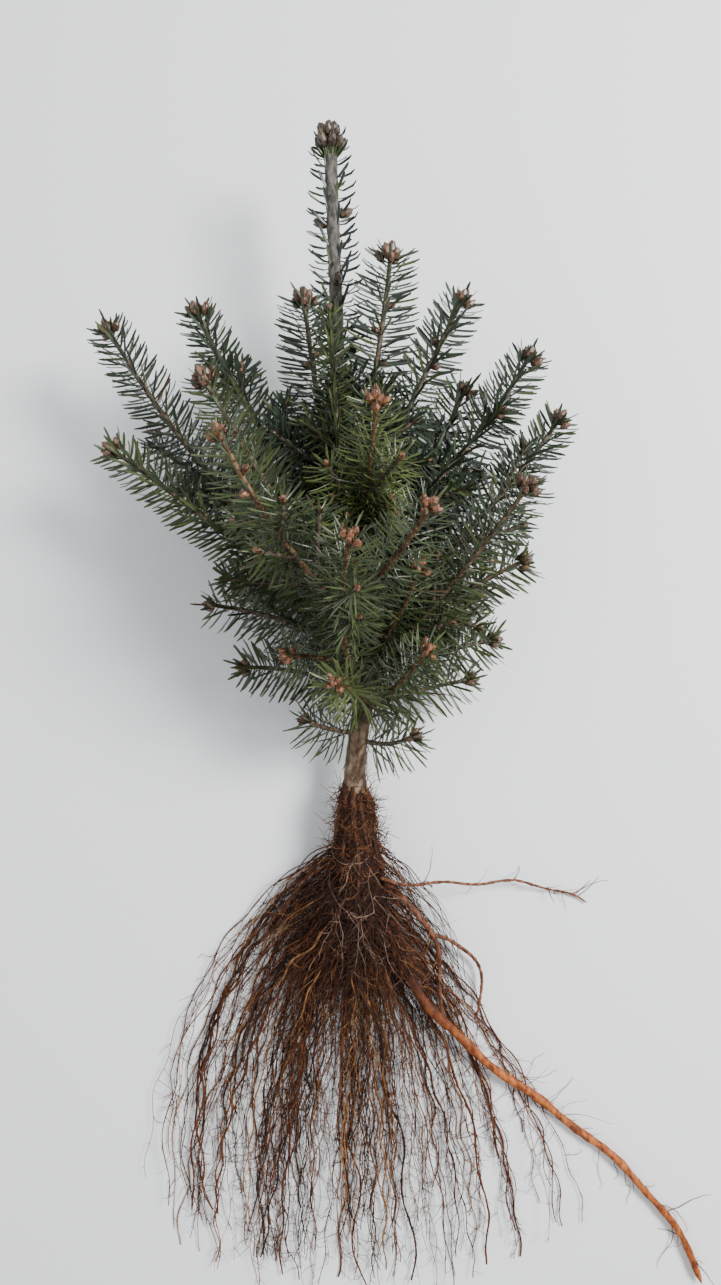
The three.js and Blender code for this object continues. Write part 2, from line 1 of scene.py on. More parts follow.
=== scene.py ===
import bmesh
import bpy
import numpy as np
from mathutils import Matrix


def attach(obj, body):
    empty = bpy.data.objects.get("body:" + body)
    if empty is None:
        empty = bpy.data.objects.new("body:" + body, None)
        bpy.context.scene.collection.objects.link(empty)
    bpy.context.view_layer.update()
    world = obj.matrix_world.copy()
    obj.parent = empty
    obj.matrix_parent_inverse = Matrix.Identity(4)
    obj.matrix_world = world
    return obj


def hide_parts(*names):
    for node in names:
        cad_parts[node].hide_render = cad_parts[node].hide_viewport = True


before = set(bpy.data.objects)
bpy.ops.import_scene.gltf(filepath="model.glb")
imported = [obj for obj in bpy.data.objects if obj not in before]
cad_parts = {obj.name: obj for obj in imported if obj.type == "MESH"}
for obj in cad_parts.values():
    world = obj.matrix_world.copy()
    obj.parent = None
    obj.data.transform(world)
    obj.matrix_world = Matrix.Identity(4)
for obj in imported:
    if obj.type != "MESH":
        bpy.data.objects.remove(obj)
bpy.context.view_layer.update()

# The view. The plant lies on its back and the camera looks straight down on it, from as near as
# the photograph was taken, so the shoots that rise towards it look larger, as they do there.
MM = 0.001
CAMERA_AT = (-28.3, 48.7, 561.0)
CAMERA_LENS = 27.04
CAMERA_SENSOR = 36.0

bpy.ops.object.select_all(action="DESELECT")
bpy.ops.object.camera_add(location=[place * MM for place in CAMERA_AT], rotation=(0, 0, 0))
camera = bpy.context.object
camera.data.lens = CAMERA_LENS
camera.data.sensor_width = CAMERA_SENSOR
bpy.context.scene.camera = camera

# The stem. One slim tapering trunk with a crook behind the lowest shoots: wrinkled grey-brown bark
# on the old wood, smooth grey bark on this year's leader. It is drawn as a path with a thickness
# at each point, then given its bark's relief.
PLANT_AT = np.array([-31.42, -33.43, 0.0])
STEM_LENGTH = 341
COLLAR_HEIGHT = 24
STEM_RISE = 7.5
STEM_LEAN = 2.1
CROOK = 9
CROOK_SPAN = 150
STEM_TAPER = {0: 7.4, 9: 6.0, 50: 5.0, 92: 4.2, 139: 3.5, 200: 3.5, 335: 3.3, 341: 2.4}
WHORLS = (44, 70, 96, 137, 168)
WHORL_SWELLING = 0.5
WHORL_REACH = 4.0
LEADER_FROM = 168
STEM_STEP = 2.5
GRAIN_STRETCH = 0.45
GRAIN_BANDS = (0.38, 0.5, 0.64)
SCURF_DULLNESS = 0.12
SCURF_STRENGTH = 0.7
BARK_SHINE = 0.25

UP = np.array([0.0, 0.0, 1.0])
NORTH = np.array([0.0, 1.0, 0.0])


def chance(seed):
    """A number from 0 to 1 that is always the same for the same seed."""
    value = np.sin(np.asarray(seed, float) * 12.9898) * 43758.5453
    return value - np.floor(value)


def from_table(table, at):
    """A value read between the rows of a table."""
    return np.interp(at, list(table), list(table.values()))


def unit(rows):
    return rows / np.linalg.norm(rows, axis=-1, keepdims=True)


def cross_axes(along):
    """Two directions square to each one given, the first as level as it can be."""
    reference = np.where(np.abs(along[..., 2:]) > 0.9, NORTH, UP)
    side = unit(np.cross(along, reference))
    return side, np.cross(side, along)


def stem_point(height):
    height = np.asarray(height, float)
    swing = np.where(height < CROOK_SPAN, np.sin(np.pi * height / CROOK_SPAN) ** 2, 0)
    return PLANT_AT + np.stack([
        CROOK * swing - height * np.tan(np.radians(STEM_LEAN)),
        height * np.cos(np.radians(STEM_RISE)),
        COLLAR_HEIGHT + height * np.sin(np.radians(STEM_RISE)),
    ], axis=-1)


def stem_radius(height):
    radius = from_table(STEM_TAPER, height)
    for whorl in WHORLS:
        radius = radius + WHORL_SWELLING * np.exp(-(((height - whorl) / WHORL_REACH) ** 2))
    return radius


def select_only(*pieces):
    """Selects these pieces and no others, the first of them as the active one."""
    bpy.ops.object.select_all(action="DESELECT")
    for piece in pieces:
        piece.select_set(True)
    bpy.context.view_layer.objects.active = pieces[0]


def draw_limb(name, points, radii, roundness):
    """A limb or root drawn as a path, point by point, with its thickness, and made a mesh."""
    bpy.ops.object.select_all(action="DESELECT")
    bpy.ops.curve.primitive_nurbs_path_add(location=(0, 0, 0))
    limb = bpy.context.object
    limb.name = name
    path = limb.data
    path.splines.clear()
    spline = path.splines.new("POLY")
    spline.points.add(len(points) - 1)
    rows = np.column_stack([points * MM, np.ones(len(points))])
    spline.points.foreach_set("co", rows.ravel())
    # Smoothing later draws each ring in, so its corners start that much further out
    drawn_in = (2 + np.cos(np.pi / (2 + roundness))) / 3
    spline.points.foreach_set("radius", radii / drawn_in)
    path.bevel_depth = MM
    path.bevel_resolution = roundness
    path.use_fill_caps = True
    path.twist_mode = "MINIMUM"
    bpy.ops.object.convert(target="MESH")
    limb.data.materials.clear()
    return limb


def join_pieces(name, parts):
    """Several meshes made one piece."""
    select_only(*parts)
    bpy.ops.object.join()
    parts[0].name = name
    return parts[0]


def add_bark(piece, finish, smoothing, reliefs):
    """Gives a piece its finish, smooths its faces into finer ones and raises reliefs on them,
    each given as its texture, the size of its grain and its height."""
    piece.data.materials.append(finish)
    select_only(piece)
    bpy.ops.object.modifier_add(type="SUBSURF")
    rounding = piece.modifiers[-1]
    rounding.levels = rounding.render_levels = smoothing
    bpy.ops.object.modifier_apply(modifier=rounding.name)
    for kind, size, height in reliefs:
        texture = bpy.data.textures.new(f"{piece.name}_{kind.lower()}", kind)
        texture.noise_scale = size * MM
        bpy.ops.object.modifier_add(type="DISPLACE")
        bumps = piece.modifiers[-1]
        bumps.texture = texture
        bumps.strength = height * MM
        bumps.mid_level = 0.5
        bpy.ops.object.modifier_apply(modifier=bumps.name)
    bpy.ops.object.shade_smooth()
    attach(piece, "root")


def new_finish(name):
    """A new material, its nodes, its shader and the place on the object."""
    material = bpy.data.materials.new(name)
    material.use_nodes = True
    tree = material.node_tree
    place = tree.nodes.new("ShaderNodeTexCoord").outputs["Object"]
    return material, tree, tree.nodes["Principled BSDF"], place


def add_cloud(tree, place, patch, detail, coarseness=0.5):
    """A cloudy noise with patches of one size, read at a place, as its output."""
    noise = tree.nodes.new("ShaderNodeTexNoise")
    noise.inputs["Scale"].default_value = 1 / (patch * MM)
    noise.inputs["Detail"].default_value = detail
    noise.inputs["Roughness"].default_value = coarseness
    tree.links.new(place, noise.inputs["Vector"])
    return noise.outputs["Fac"]


def colour_by(tree, cloud, tones):
    """Runs the base colour through the tones, each at its own part of the cloud."""
    ramp = tree.nodes.new("ShaderNodeValToRGB")
    low, *between, high = tones.items()
    for element, (at, colour) in zip(ramp.color_ramp.elements, (low, high)):
        element.position, element.color = at, (*colour, 1)
    for at, colour in between:
        ramp.color_ramp.elements.new(at).color = (*colour, 1)
    tree.links.new(cloud, ramp.inputs["Fac"])
    tree.links.new(ramp.outputs["Color"], tree.nodes["Principled BSDF"].inputs["Base Color"])


def wood_finish(name, dark, middle, light, grain, roughness, relief=0.3):
    """Bark: three tones in patches of a grain's size, drawn out along the limb, finely rough."""
    material, tree, shader, place = new_finish(name)
    stretch = tree.nodes.new("ShaderNodeMapping")
    stretch.inputs["Scale"].default_value = (1, GRAIN_STRETCH, 1)
    tree.links.new(place, stretch.inputs["Vector"])
    patches = add_cloud(tree, stretch.outputs["Vector"], grain, detail=5, coarseness=0.62)
    colour_by(tree, patches, dict(zip(GRAIN_BANDS, (dark, middle, light))))
    scurf = add_cloud(tree, place, grain / 5, detail=4)
    bumps = tree.nodes.new("ShaderNodeBump")
    bumps.inputs["Strength"].default_value = SCURF_STRENGTH
    bumps.inputs["Distance"].default_value = relief * MM
    tree.links.new(scurf, bumps.inputs["Height"])
    tree.links.new(bumps.outputs["Normal"], shader.inputs["Normal"])
    dullness = tree.nodes.new("ShaderNodeMapRange")
    dullness.inputs["To Min"].default_value = roughness - SCURF_DULLNESS
    dullness.inputs["To Max"].default_value = min(roughness + SCURF_DULLNESS, 1)
    tree.links.new(scurf, dullness.inputs["Value"])
    tree.links.new(dullness.outputs["Result"], shader.inputs["Roughness"])
    shader.inputs["Specular IOR Level"].default_value = BARK_SHINE
    return material


old_bark = wood_finish(
    "old_bark", (0.05, 0.03, 0.018), (0.12, 0.075, 0.045), (0.22, 0.16, 0.11),
    grain=4, roughness=0.8,
)
leader_bark = wood_finish(
    "leader_bark", (0.036, 0.033, 0.028), (0.084, 0.078, 0.068), (0.155, 0.145, 0.128),
    grain=3, roughness=0.68, relief=0.15,
)

heights = np.arange(0, STEM_LENGTH + 1, STEM_STEP)
stem = draw_limb("stem_bark", stem_point(heights), stem_radius(heights), 2)
add_bark(stem, old_bark, 2, [("CLOUDS", 5, 0.9), ("VORONOI", 1.8, -0.35), ("CLOUDS", 1.1, 0.3)])
stem.data.materials.append(leader_bark)
leader_foot = stem_point(LEADER_FROM)[1] * MM
for face in stem.data.polygons:
    face.material_index = int(face.center.y > leader_foot)
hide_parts("trunk")

# The limbs. Each shoot leaves the stem, or the one forked bough, at its own heading and climb, as
# in the part's source, and tapers to its tip. The large ones are bare wood for their first part.
# Last year's wood is brown, and the shoots that face the light are tan to orange.
SHOOT_ROOT = 1.1
SHOOT_THICKENING = 0.006
SHOOT_TIP = 1.1
COLLAR_FLARE = 0.7
COLLAR_FLARE_REACH = 4.0

# at is where a limb leaves, in mm up the stem or as a part of the bough that it is on. heading is
# in degrees from straight up the stem, + to the right, and climb in degrees above the level. bow
# and lift are how far its middle swings to its left and upwards. bough is the part of it that is
# bare wood. A twig is its place, turn, drop and length, and a side bud its place and its side.
# needles and size are how close and how long the needles are, spread and press how far they stand
# out and are pressed forward on top, and buds is how many buds the tip has. Each limb says only
# what is not so on a plain brown shoot.
PLAIN_LIMB = dict(
    on=None, lift=0, bough=0, twigs=(), wood="brown", green="slate",
    needles=1, size=1, spread=0, buds=6, bud_size=1, side_buds=(),
)


def limb_at(name, at, heading, climb, length, bow, **own):
    placed = dict(name=name, at=at, heading=heading, climb=climb, length=length, bow=bow)
    return PLAIN_LIMB | placed | own


LIMBS = [
    limb_at("top_right_inner", 143, 10, 17, 139, -2, needles=1.15, spread=8, buds=8, bud_size=1.3,
            side_buds=((0.83, 1), (0.74, -1), (0.63, 1))),
    limb_at("top_left_inner", 138, -10, 17, 123, 2, needles=1.3, spread=6, buds=7, bud_size=1.25,
            side_buds=((0.78, 1), (0.74, -1))),
    limb_at("top_front", 134, -4, 27, 122, 1, green="middle", needles=1.2, size=0.62, press=52,
            buds=2, bud_size=0.8),
    limb_at("middle_front", 128, 11, 46, 99, -3, wood="orange", green="fresh", needles=1.3,
            spread=6, buds=7, bud_size=1.15,
            twigs=((0.12, 36, 6, 36), (0.1, -36, 6, 38), (0.08, -22, 18, 32), (0.34, 62, 5, 22))),
    limb_at("top_right", 136, 26, 13, 137, 1, needles=1.2, size=0.88, spread=4, press=34,
            bud_size=1.15, side_buds=((0.82, -1), (0.74, 1))),
    limb_at("top_left", 139, -34, 13, 137, 5.5, bough=0.28, needles=1.2, size=0.84, press=36,
            bud_size=1.15, twigs=((0.65, 32, 0, 16), (0.73, -30, 0, 12))),
    limb_at("right_upper", 133, 44, 10, 136, -9, bough=0.28, needles=1.15, size=0.88, press=32,
            bud_size=1.12, twigs=((0.7, 8, 26, 13),)),
    limb_at("right_back", 124, 33, 2, 111, -5, press=32, bud_size=1.12),
    limb_at("right_inner", 120, 29, -6, 92, -4),
    limb_at("rear_centre", 112, -1, -16, 93, 2, green="deep"),
    limb_at("left_high", 100, -42, 7, 196, 11, bough=0.26, needles=1.05, size=0.92, bud_size=1.15,
            twigs=((0.47, -14, -16, 52),)),
    limb_at("right_high", 96, 45, 10, 146, -7, bough=0.28, needles=1.05, size=0.88, bud_size=1.12,
            twigs=((0.68, -20, 0, 26),)),
    limb_at("rear_left", 92, -35, -11, 118, 3, bough=0.3, green="deep"),
    limb_at("rear_right", 88, 35, -11, 113, -3, bough=0.3, green="deep"),
    limb_at("left_middle", 85, -32, 23, 159, 1, bough=0.28, wood="tan", green="deep",
            needles=1.15, size=0.9, buds=7, bud_size=1.25),
    limb_at("left_low", 80, -52, 12, 167, -2, bough=0.28, green="deep", needles=1.1, size=0.88,
            press=32, bud_size=1.15),
    limb_at("left_twig", 76, -72, 1, 88, -4, green="old", needles=0.55, buds=4),
    limb_at("right_middle", 78, 60, 15, 97, 2, bough=0.3, wood="tan", green="middle"),
    limb_at("rear_low_left", 74, -60, -16, 86, 3, green="old", buds=5),
    limb_at("front_low_right", 72, 28, 50, 82, -3, wood="orange", green="deep"),
    limb_at("rear_low_right", 70, 57, -19, 80, -3, green="old", buds=5),
    limb_at("left_base_front", 66, -76, 49, 62, -3, wood="orange", green="middle", buds=5),
    limb_at("right_front", 62, 39, 31, 141, -2, bough=0.28, wood="tan", green="deep", buds=7,
            bud_size=1.15),
    limb_at("right_low", 60, 71, 5, 73, 3, bough=0.3, green="old", buds=5),
    limb_at("front", 56, -17, 46, 70, 3, lift=5, bough=1, wood="orange", green="middle"),
    limb_at("left_base", 54, -77, 3, 67, -4, bough=0.3, green="old", buds=5),
    limb_at("front_base_left", 50, -47, 74, 70, 3, wood="orange", green="fresh", buds=5),
    limb_at("front_base_right", 46, 43, 56, 80, -3, wood="orange", green="middle"),
    limb_at("right_base", 45, 74, 0, 61, 2, green="old", needles=0.7, buds=4),
    limb_at("base_left", 33, -73, 40, 37, 2, wood="tan", green="middle", buds=4),
    limb_at("base_right", 29, 85, 29, 34, -3, green="middle", buds=4),
    limb_at("front_left", 1, -35, 34, 105, 4, on="front", wood="orange", green="middle", buds=8,
            side_buds=((0.8, 1), (0.7, -1))),
    limb_at("front_right", 0.9, 42, 44, 86, -3, on="front", wood="orange", green="middle",
            buds=7),
    limb_at("front_centre", 0.62, 4, 60, 94, 2, on="front", wood="orange", green="deep"),
]

# Short inner twigs thicken the crown along the first half of every long limb
INNER_TWIGS = (0.17, 0.3, 0.43)
TWIGGY_LENGTH = 90

for number, limb in enumerate(LIMBS):
    if limb["length"] > TWIGGY_LENGTH:
        grown = []
        for index, at in enumerate(INNER_TWIGS):
            way = 1 if (number + index) % 2 else -1
            seed = 10 * number + index
            turn = way * (30 + 24 * chance(seed))
            grown.append((at, turn, 26 * chance(seed + 3) - 8, 22 + 16 * chance(seed + 5)))
        limb["twigs"] = (*limb["twigs"], *grown)


def direction(heading, climb):
    heading, climb = np.radians(heading), np.radians(climb)
    level = np.cos(climb)
    return np.array([np.sin(heading) * level, np.cos(heading) * level, np.sin(climb)])


def limb_line(heading, climb, length, bow, lift, start):
    """A limb's middle line, as a function that takes parts of its length."""
    along = direction(heading, climb)
    side, out = cross_axes(along)

    def line(part):
        part = np.asarray(part, float)[..., None]
        swell = 4 * part * (1 - part)
        return start + along * length * part - side * bow * swell + out * lift * swell

    return line


def limb_radius(length, part):
    part = np.asarray(part, float)
    root = SHOOT_ROOT + SHOOT_THICKENING * length
    flare = COLLAR_FLARE * np.exp(-part * length / COLLAR_FLARE_REACH)
    return root + (SHOOT_TIP - root) * part + flare


limb_lines = {}
for limb in LIMBS:
    base = limb_lines[limb["on"]](limb["at"]) if limb["on"] else stem_point(limb["at"])
    limb["line"] = limb_lines[limb["name"]] = limb_line(
        limb["heading"], limb["climb"], limb["length"], limb["bow"], limb["lift"], base,
    )

# The boughs. Bare older wood at the foot of each large shoot, with a swollen collar where it
# leaves the stem. They are drawn as the stem is and joined into one piece with its relief.
BOUGH_OVERLAP = 3

bough_wood = wood_finish(
    "bough_wood", (0.055, 0.03, 0.015), (0.13, 0.075, 0.04), (0.24, 0.16, 0.1),
    grain=3, roughness=0.8,
)
boughs = []
woody = [limb for limb in LIMBS if limb["bough"]]
for limb in woody:
    parts = np.linspace(0, limb["bough"] + BOUGH_OVERLAP / limb["length"], 24)
    radii = limb_radius(limb["length"], parts)
    boughs.append(draw_limb("bough_" + limb["name"], limb["line"](parts), radii, 1))
bough_bark = join_pieces("bough_bark", boughs)
add_bark(bough_bark, bough_wood, 2, [("CLOUDS", 2.4, 0.5), ("CLOUDS", 0.8, 0.25)])
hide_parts(*("bough_" + limb["name"] for limb in woody))

# The shoots. Young wood with fine grooves that wind round it, from where each bough ends to the
# tip. All of them are one piece, made from arrays, with one colour of bark for each shoot.
SHOOT_STEP = 1.3
SHOOT_SIDES = 10
GROOVES = 5
GROOVE_DEPTH = 0.05
GROOVE_WIND = 0.35
SHOOT_BARKS = {
    "brown": ((0.035, 0.025, 0.017), (0.08, 0.06, 0.042), (0.15, 0.118, 0.085)),
    "tan": ((0.05, 0.032, 0.018), (0.105, 0.07, 0.042), (0.2, 0.145, 0.095)),
    "orange": ((0.05, 0.025, 0.012), (0.115, 0.06, 0.028), (0.22, 0.135, 0.07)),
}


def tube(points, radii, sides):
    """The corners and the four-cornered faces of a closed tube along a line of points.
    The radii are one for each point, or one for each corner of each ring."""
    along = unit(np.gradient(points, axis=0))
    reference = NORTH if abs(along[:, 2].mean()) > 0.8 else UP
    side = unit(np.cross(along, reference))
    out = np.cross(side, along)
    turns = 2 * np.pi * np.arange(sides) / sides
    ring = side[:, None] * np.cos(turns)[:, None] + out[:, None] * np.sin(turns)[:, None]
    radii = radii if radii.ndim == 2 else radii[:, None]
    corners = (points[:, None] + ring * radii[..., None]).reshape(-1, 3)
    first = np.arange(sides)
    second = (first + 1) % sides
    rings = sides * np.arange(len(points) - 1)[:, None]
    wall = np.stack(
        [rings + first, rings + first + sides, rings + second + sides, rings + second], axis=-1,
    )
    fan = np.array([[0, i, i + 1, i + 2] for i in range(1, sides - 1, 2)])
    ends = np.concatenate([fan, fan[:, ::-1] + sides * (len(points) - 1)])
    return corners, np.concatenate([wall.reshape(-1, 4), ends])


def joined_piece(name, shapes, materials):
    """One piece from many shapes, each its corners, its four-cornered faces and their finishes."""
    corners, faces, finishes = zip(*shapes)
    finishes = np.concatenate([np.full(len(part), own) for part, own in zip(faces, finishes)])
    firsts = np.cumsum([0, *(len(part) for part in corners[:-1])])
    faces = np.concatenate([part + first for part, first in zip(faces, firsts)])
    corners = np.concatenate(corners)
    corners[:, 2] = np.maximum(corners[:, 2], 0)
    mesh = bpy.data.meshes.new(name)
    mesh.vertices.add(len(corners))
    mesh.vertices.foreach_set("co", (corners * MM).ravel())
    mesh.loops.add(faces.size)
    mesh.polygons.add(len(faces))
    mesh.polygons.foreach_set("loop_start", np.arange(0, faces.size, 4))
    mesh.polygons.foreach_set("vertices", faces.ravel())
    mesh.polygons.foreach_set("material_index", finishes)
    for material in materials:
        mesh.materials.append(material)
    mesh.update(calc_edges=True)
    mesh.validate()
    piece = bpy.data.objects.new(name, mesh)
    bpy.context.collection.objects.link(piece)
    select_only(piece)
    bpy.ops.object.shade_smooth_by_angle(angle=np.radians(55))
    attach(piece, "root")
    return piece


shoot_barks = [
    wood_finish(
        "shoot_bark_" + wood, *tones, grain=2, roughness=0.8 if wood == "brown" else 0.7,
        relief=0.15,
    )
    for wood, tones in SHOOT_BARKS.items()
]


def twig_line(limb, twig):
    """The middle line of a side twig that leaves a limb."""
    at, turn, drop, length = twig
    return limb_line(
        limb["heading"] + turn, limb["climb"] + drop, length, bow=0, lift=0, start=limb["line"](at),
    )


shoot_shapes = []
turns = 2 * np.pi * np.arange(SHOOT_SIDES) / SHOOT_SIDES
leafy = [limb for limb in LIMBS if limb["bough"] < 1]
for limb in leafy:
    runs = [(limb["line"], limb["length"], limb["bough"], list(SHOOT_BARKS).index(limb["wood"]))]
    runs += [(twig_line(limb, twig), twig[3], 0, 0) for twig in limb["twigs"]]
    for line, length, start, bark in runs:
        parts = np.linspace(start, 1, max(int(length * (1 - start) / SHOOT_STEP), 6))
        wind = GROOVES * turns + GROOVE_WIND * (parts * length)[:, None]
        radii = limb_radius(length, parts)[:, None] * (1 + GROOVE_DEPTH * np.cos(wind))
        shoot_shapes.append((*tube(line(parts), radii, SHOOT_SIDES), bark))
shoot_bark = joined_piece("shoot_bark", shoot_shapes, shoot_barks)
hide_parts(*("foliage_" + limb["name"] for limb in leafy))

# The needles. Flat blunt blades about 20 mm long, grooved on top, with two pale bands of pores
# below. One is modelled and copied along every shoot: each is turned on from the last by the
# golden angle and combed to the sides, and leans forward more towards the tip.
NEEDLE_LENGTH = 21
NEEDLE_WIDTHS = {12: 1.85, 40: 1.05}
NEEDLE_THICKNESS = 0.55
NEEDLE_OUTLINE = {0: 0.5, 0.3: 0.95, 0.8: 1.0, 1: 0.45}
NEEDLE_GROOVE = 0.5
NEEDLE_SPACING = 0.56
NEEDLE_BOW = 2.0
NEEDLE_ROLL = 17
RIGHT_ROLL = 30
RIGHT_HEADING = 25
NEEDLE_LEAN = 72
NEEDLE_FOLD = 15
NEEDLE_PRESS = 20
TIP_NEEDLE = 6.2
TWIG_FOOT = 0.12
TWIG_NEEDLES = 0.85
TIP_RING = 14
TWIG_RING = 6
GOLDEN_ANGLE = 137.5
COMB = 0.75
TURN_SCATTER = 20
LEAN_SCATTER = 8
NEEDLE_SUNK = 0.7
SHORTER_AT_TIP = 0.3
RING_LEAN = (24, 36)
RING_SPREAD = 0.6
RING_SHORTER_ON_TOP = 0.4
NEEDLE_FACING = {12: 1.1, 50: -0.3}
BARE_FOOT = 5
FLOOR_CLEARANCE = 0.3
WOOD_CLEARANCE = 0.4


def pick(piece, wanted):
    """Selects, in edit mode, the corners whose place fits."""
    shape = bmesh.from_edit_mesh(piece.data)
    for corner in shape.verts:
        corner.select = bool(wanted(corner.co))
    shape.select_flush_mode()
    bmesh.update_edit_mesh(piece.data)


def take_shape(piece):
    """A modelled shape as its corners and faces, after which the piece goes."""
    corners = np.array([corner.co for corner in piece.data.vertices])
    faces = np.array([face.vertices for face in piece.data.polygons])
    bpy.data.objects.remove(piece)
    return corners, faces


bpy.ops.object.select_all(action="DESELECT")
bpy.ops.mesh.primitive_cylinder_add(
    vertices=6, radius=0.5, depth=1, end_fill_type="NOTHING",
    location=(0, 0.5, 0), rotation=(np.pi / 2, 0, 0),
)
needle = bpy.context.object
bpy.ops.object.transform_apply(location=True, rotation=True, scale=True)
bpy.ops.object.mode_set(mode="EDIT")
for at in NEEDLE_OUTLINE:
    if 0 < at < 1:
        bpy.ops.mesh.select_all(action="SELECT")
        bpy.ops.mesh.bisect(plane_co=(0, at, 0), plane_no=(0, 1, 0))
    else:
        pick(needle, lambda place: abs(place.y - at) < 0.01)
        bpy.ops.mesh.fill_grid(span=1)
for at, width in NEEDLE_OUTLINE.items():
    pick(needle, lambda place: abs(place.y - at) < 0.01)
    bpy.ops.transform.resize(value=(width, 1, width ** 0.5), center_override=(0, at, 0))
pick(needle, lambda place: abs(place.x) < 0.01 and place.z > 0.1)
bpy.ops.transform.translate(value=(0, 0, -NEEDLE_GROOVE))
bpy.ops.object.mode_set(mode="OBJECT")
under_bands = np.array([
    face.normal.z < -0.3 and abs(face.normal.y) < 0.8 and abs(face.center.x) < 0.3
    for face in needle.data.polygons
])
needle_corners, needle_faces = take_shape(needle)


def copies(corners, faces, roots, across, along, normal, bow=None):
    """Copies of a modelled shape, one on each root, with its axes drawn out to the vectors."""
    placed = (
        roots[:, None]
        + corners[None, :, :1] * across[:, None]
        + corners[None, :, 1:2] * along[:, None]
        + corners[None, :, 2:] * normal[:, None]
    )
    if bow is not None:
        reach = corners[None, :, 1:2]
        placed = placed - 4 * reach * (1 - reach) * bow[:, None]
    firsts = len(corners) * np.arange(len(roots))
    return placed.reshape(-1, 3), (faces[None] + firsts[:, None, None]).reshape(-1, 4)


# Every limb as short straight rods, so that a needle which would run through one is left out
rod_parts = np.linspace(0.06, 1, 7)
rod_heights = np.linspace(20, STEM_LENGTH, 18)
wood = [
    (limb["name"], limb["line"](rod_parts), limb_radius(limb["length"], rod_parts))
    for limb in LIMBS
]
wood.append(("stem", stem_point(rod_heights), stem_radius(rod_heights)))
rods = [(owner, *rod) for owner, places, radii in wood for rod in zip(places, places[1:], radii)]
rod_owners, rod_lows, rod_highs, rod_radii = (np.array(column) for column in zip(*rods))


def clear_of_wood(owner, roots, tips):
    """Which needles stay clear of all the wood but their own shoot's."""
    clear = np.ones(len(roots), bool)
    others = rod_owners != owner
    lows, spans = rod_lows[others], (rod_highs - rod_lows)[others]
    for step in np.linspace(0.3, 1, 8):
        offsets = (roots + (tips - roots) * step)[:, None] - lows
        parts = np.clip((offsets * spans).sum(-1) / (spans ** 2).sum(-1), 0, 1)
        gaps = np.linalg.norm(offsets - parts[..., None] * spans, axis=-1)
        clear &= (gaps > rod_radii[others] + WOOD_CLEARANCE).all(axis=1)
    return clear


def grow_needles(
    owner, line, length, radius, start, spacing, seed,
    size=1, lean=NEEDLE_LEAN, fold=NEEDLE_FOLD, facing=1.5, press=NEEDLE_PRESS,
):
    """The needles of one shoot: their roots, their tips and which way their tops face."""
    count = int(round(length * (1 - start) / spacing))
    number = np.arange(count)
    part = start + (1 - start) * (number + 0.5) / count
    along = unit(line(part + 0.01) - line(part - 0.01))
    side, out = cross_axes(along)
    turn = np.radians(GOLDEN_ANGLE * number + TURN_SCATTER * chance(seed + number))[:, None]
    away = unit(side * np.sin(turn) + out * COMB * np.cos(turn))
    pressed = press * np.maximum(np.cos(turn), 0) ** 2
    folded = fold * part[:, None] ** 3 - LEAN_SCATTER * chance(seed + 2 * number)[:, None]
    lean = np.radians(lean - folded - pressed)
    reach = NEEDLE_LENGTH * size * (0.9 + 0.15 * chance(seed + 3 * number))
    reach = reach * (1 - SHORTER_AT_TIP * part ** 4)
    roots = line(part) + away * radius(part)[:, None] * NEEDLE_SUNK
    tips = line(part) + (away * np.sin(lean) + along * np.cos(lean)) * reach[:, None]
    tips[:, 2] = np.maximum(tips[:, 2], FLOOR_CLEARANCE + NEEDLE_THICKNESS)
    kept = clear_of_wood(owner, roots, tips)
    return roots[kept], tips[kept], unit(along + facing * out)[kept]


GREENS = {
    "slate": (0.028, 0.041, 0.026),
    "deep": (0.025, 0.039, 0.014),
    "middle": (0.052, 0.07, 0.02),
    "fresh": (0.082, 0.105, 0.027),
    "old": (0.036, 0.04, 0.017),
    "brown": (0.07, 0.042, 0.022),
    # Painted shade: this near-black green stands for the leader's needles seen against the light
    "dusk": (0.015, 0.021, 0.016),
}
BAND_COLOUR = (0.1, 0.13, 0.075)
NEEDLE_PATCH = 6.25
NEEDLE_BANDS = {0.35: 0.72, 0.65: 1.25}
WAX_SHINE = 0.35
COAT_ROUGHNESS = 0.3
OWN_GREEN = 0.76
OTHER_GREENS = {"middle": 0.1, "deep": 0.09, "old": 0.047, "brown": 0.003}


def waxy_finish(name, colour, roughness, coat=0.33):
    """A waxy needle or a glazed scale: one colour, a little lighter and darker in patches."""
    material, tree, shader, place = new_finish(name)
    tones = {at: [share * part for part in colour] for at, share in NEEDLE_BANDS.items()}
    colour_by(tree, add_cloud(tree, place, NEEDLE_PATCH, detail=2), tones)
    shader.inputs["Roughness"].default_value = roughness
    shader.inputs["Specular IOR Level"].default_value = WAX_SHINE
    shader.inputs["Coat Weight"].default_value = coat
    shader.inputs["Coat Roughness"].default_value = COAT_ROUGHNESS
    return material


needle_finishes = [waxy_finish("needle_" + name, colour, 0.4) for name, colour in GREENS.items()]
needle_finishes.append(waxy_finish("needle_bands", BAND_COLOUR, 0.6))
draws = np.random.default_rng(11)


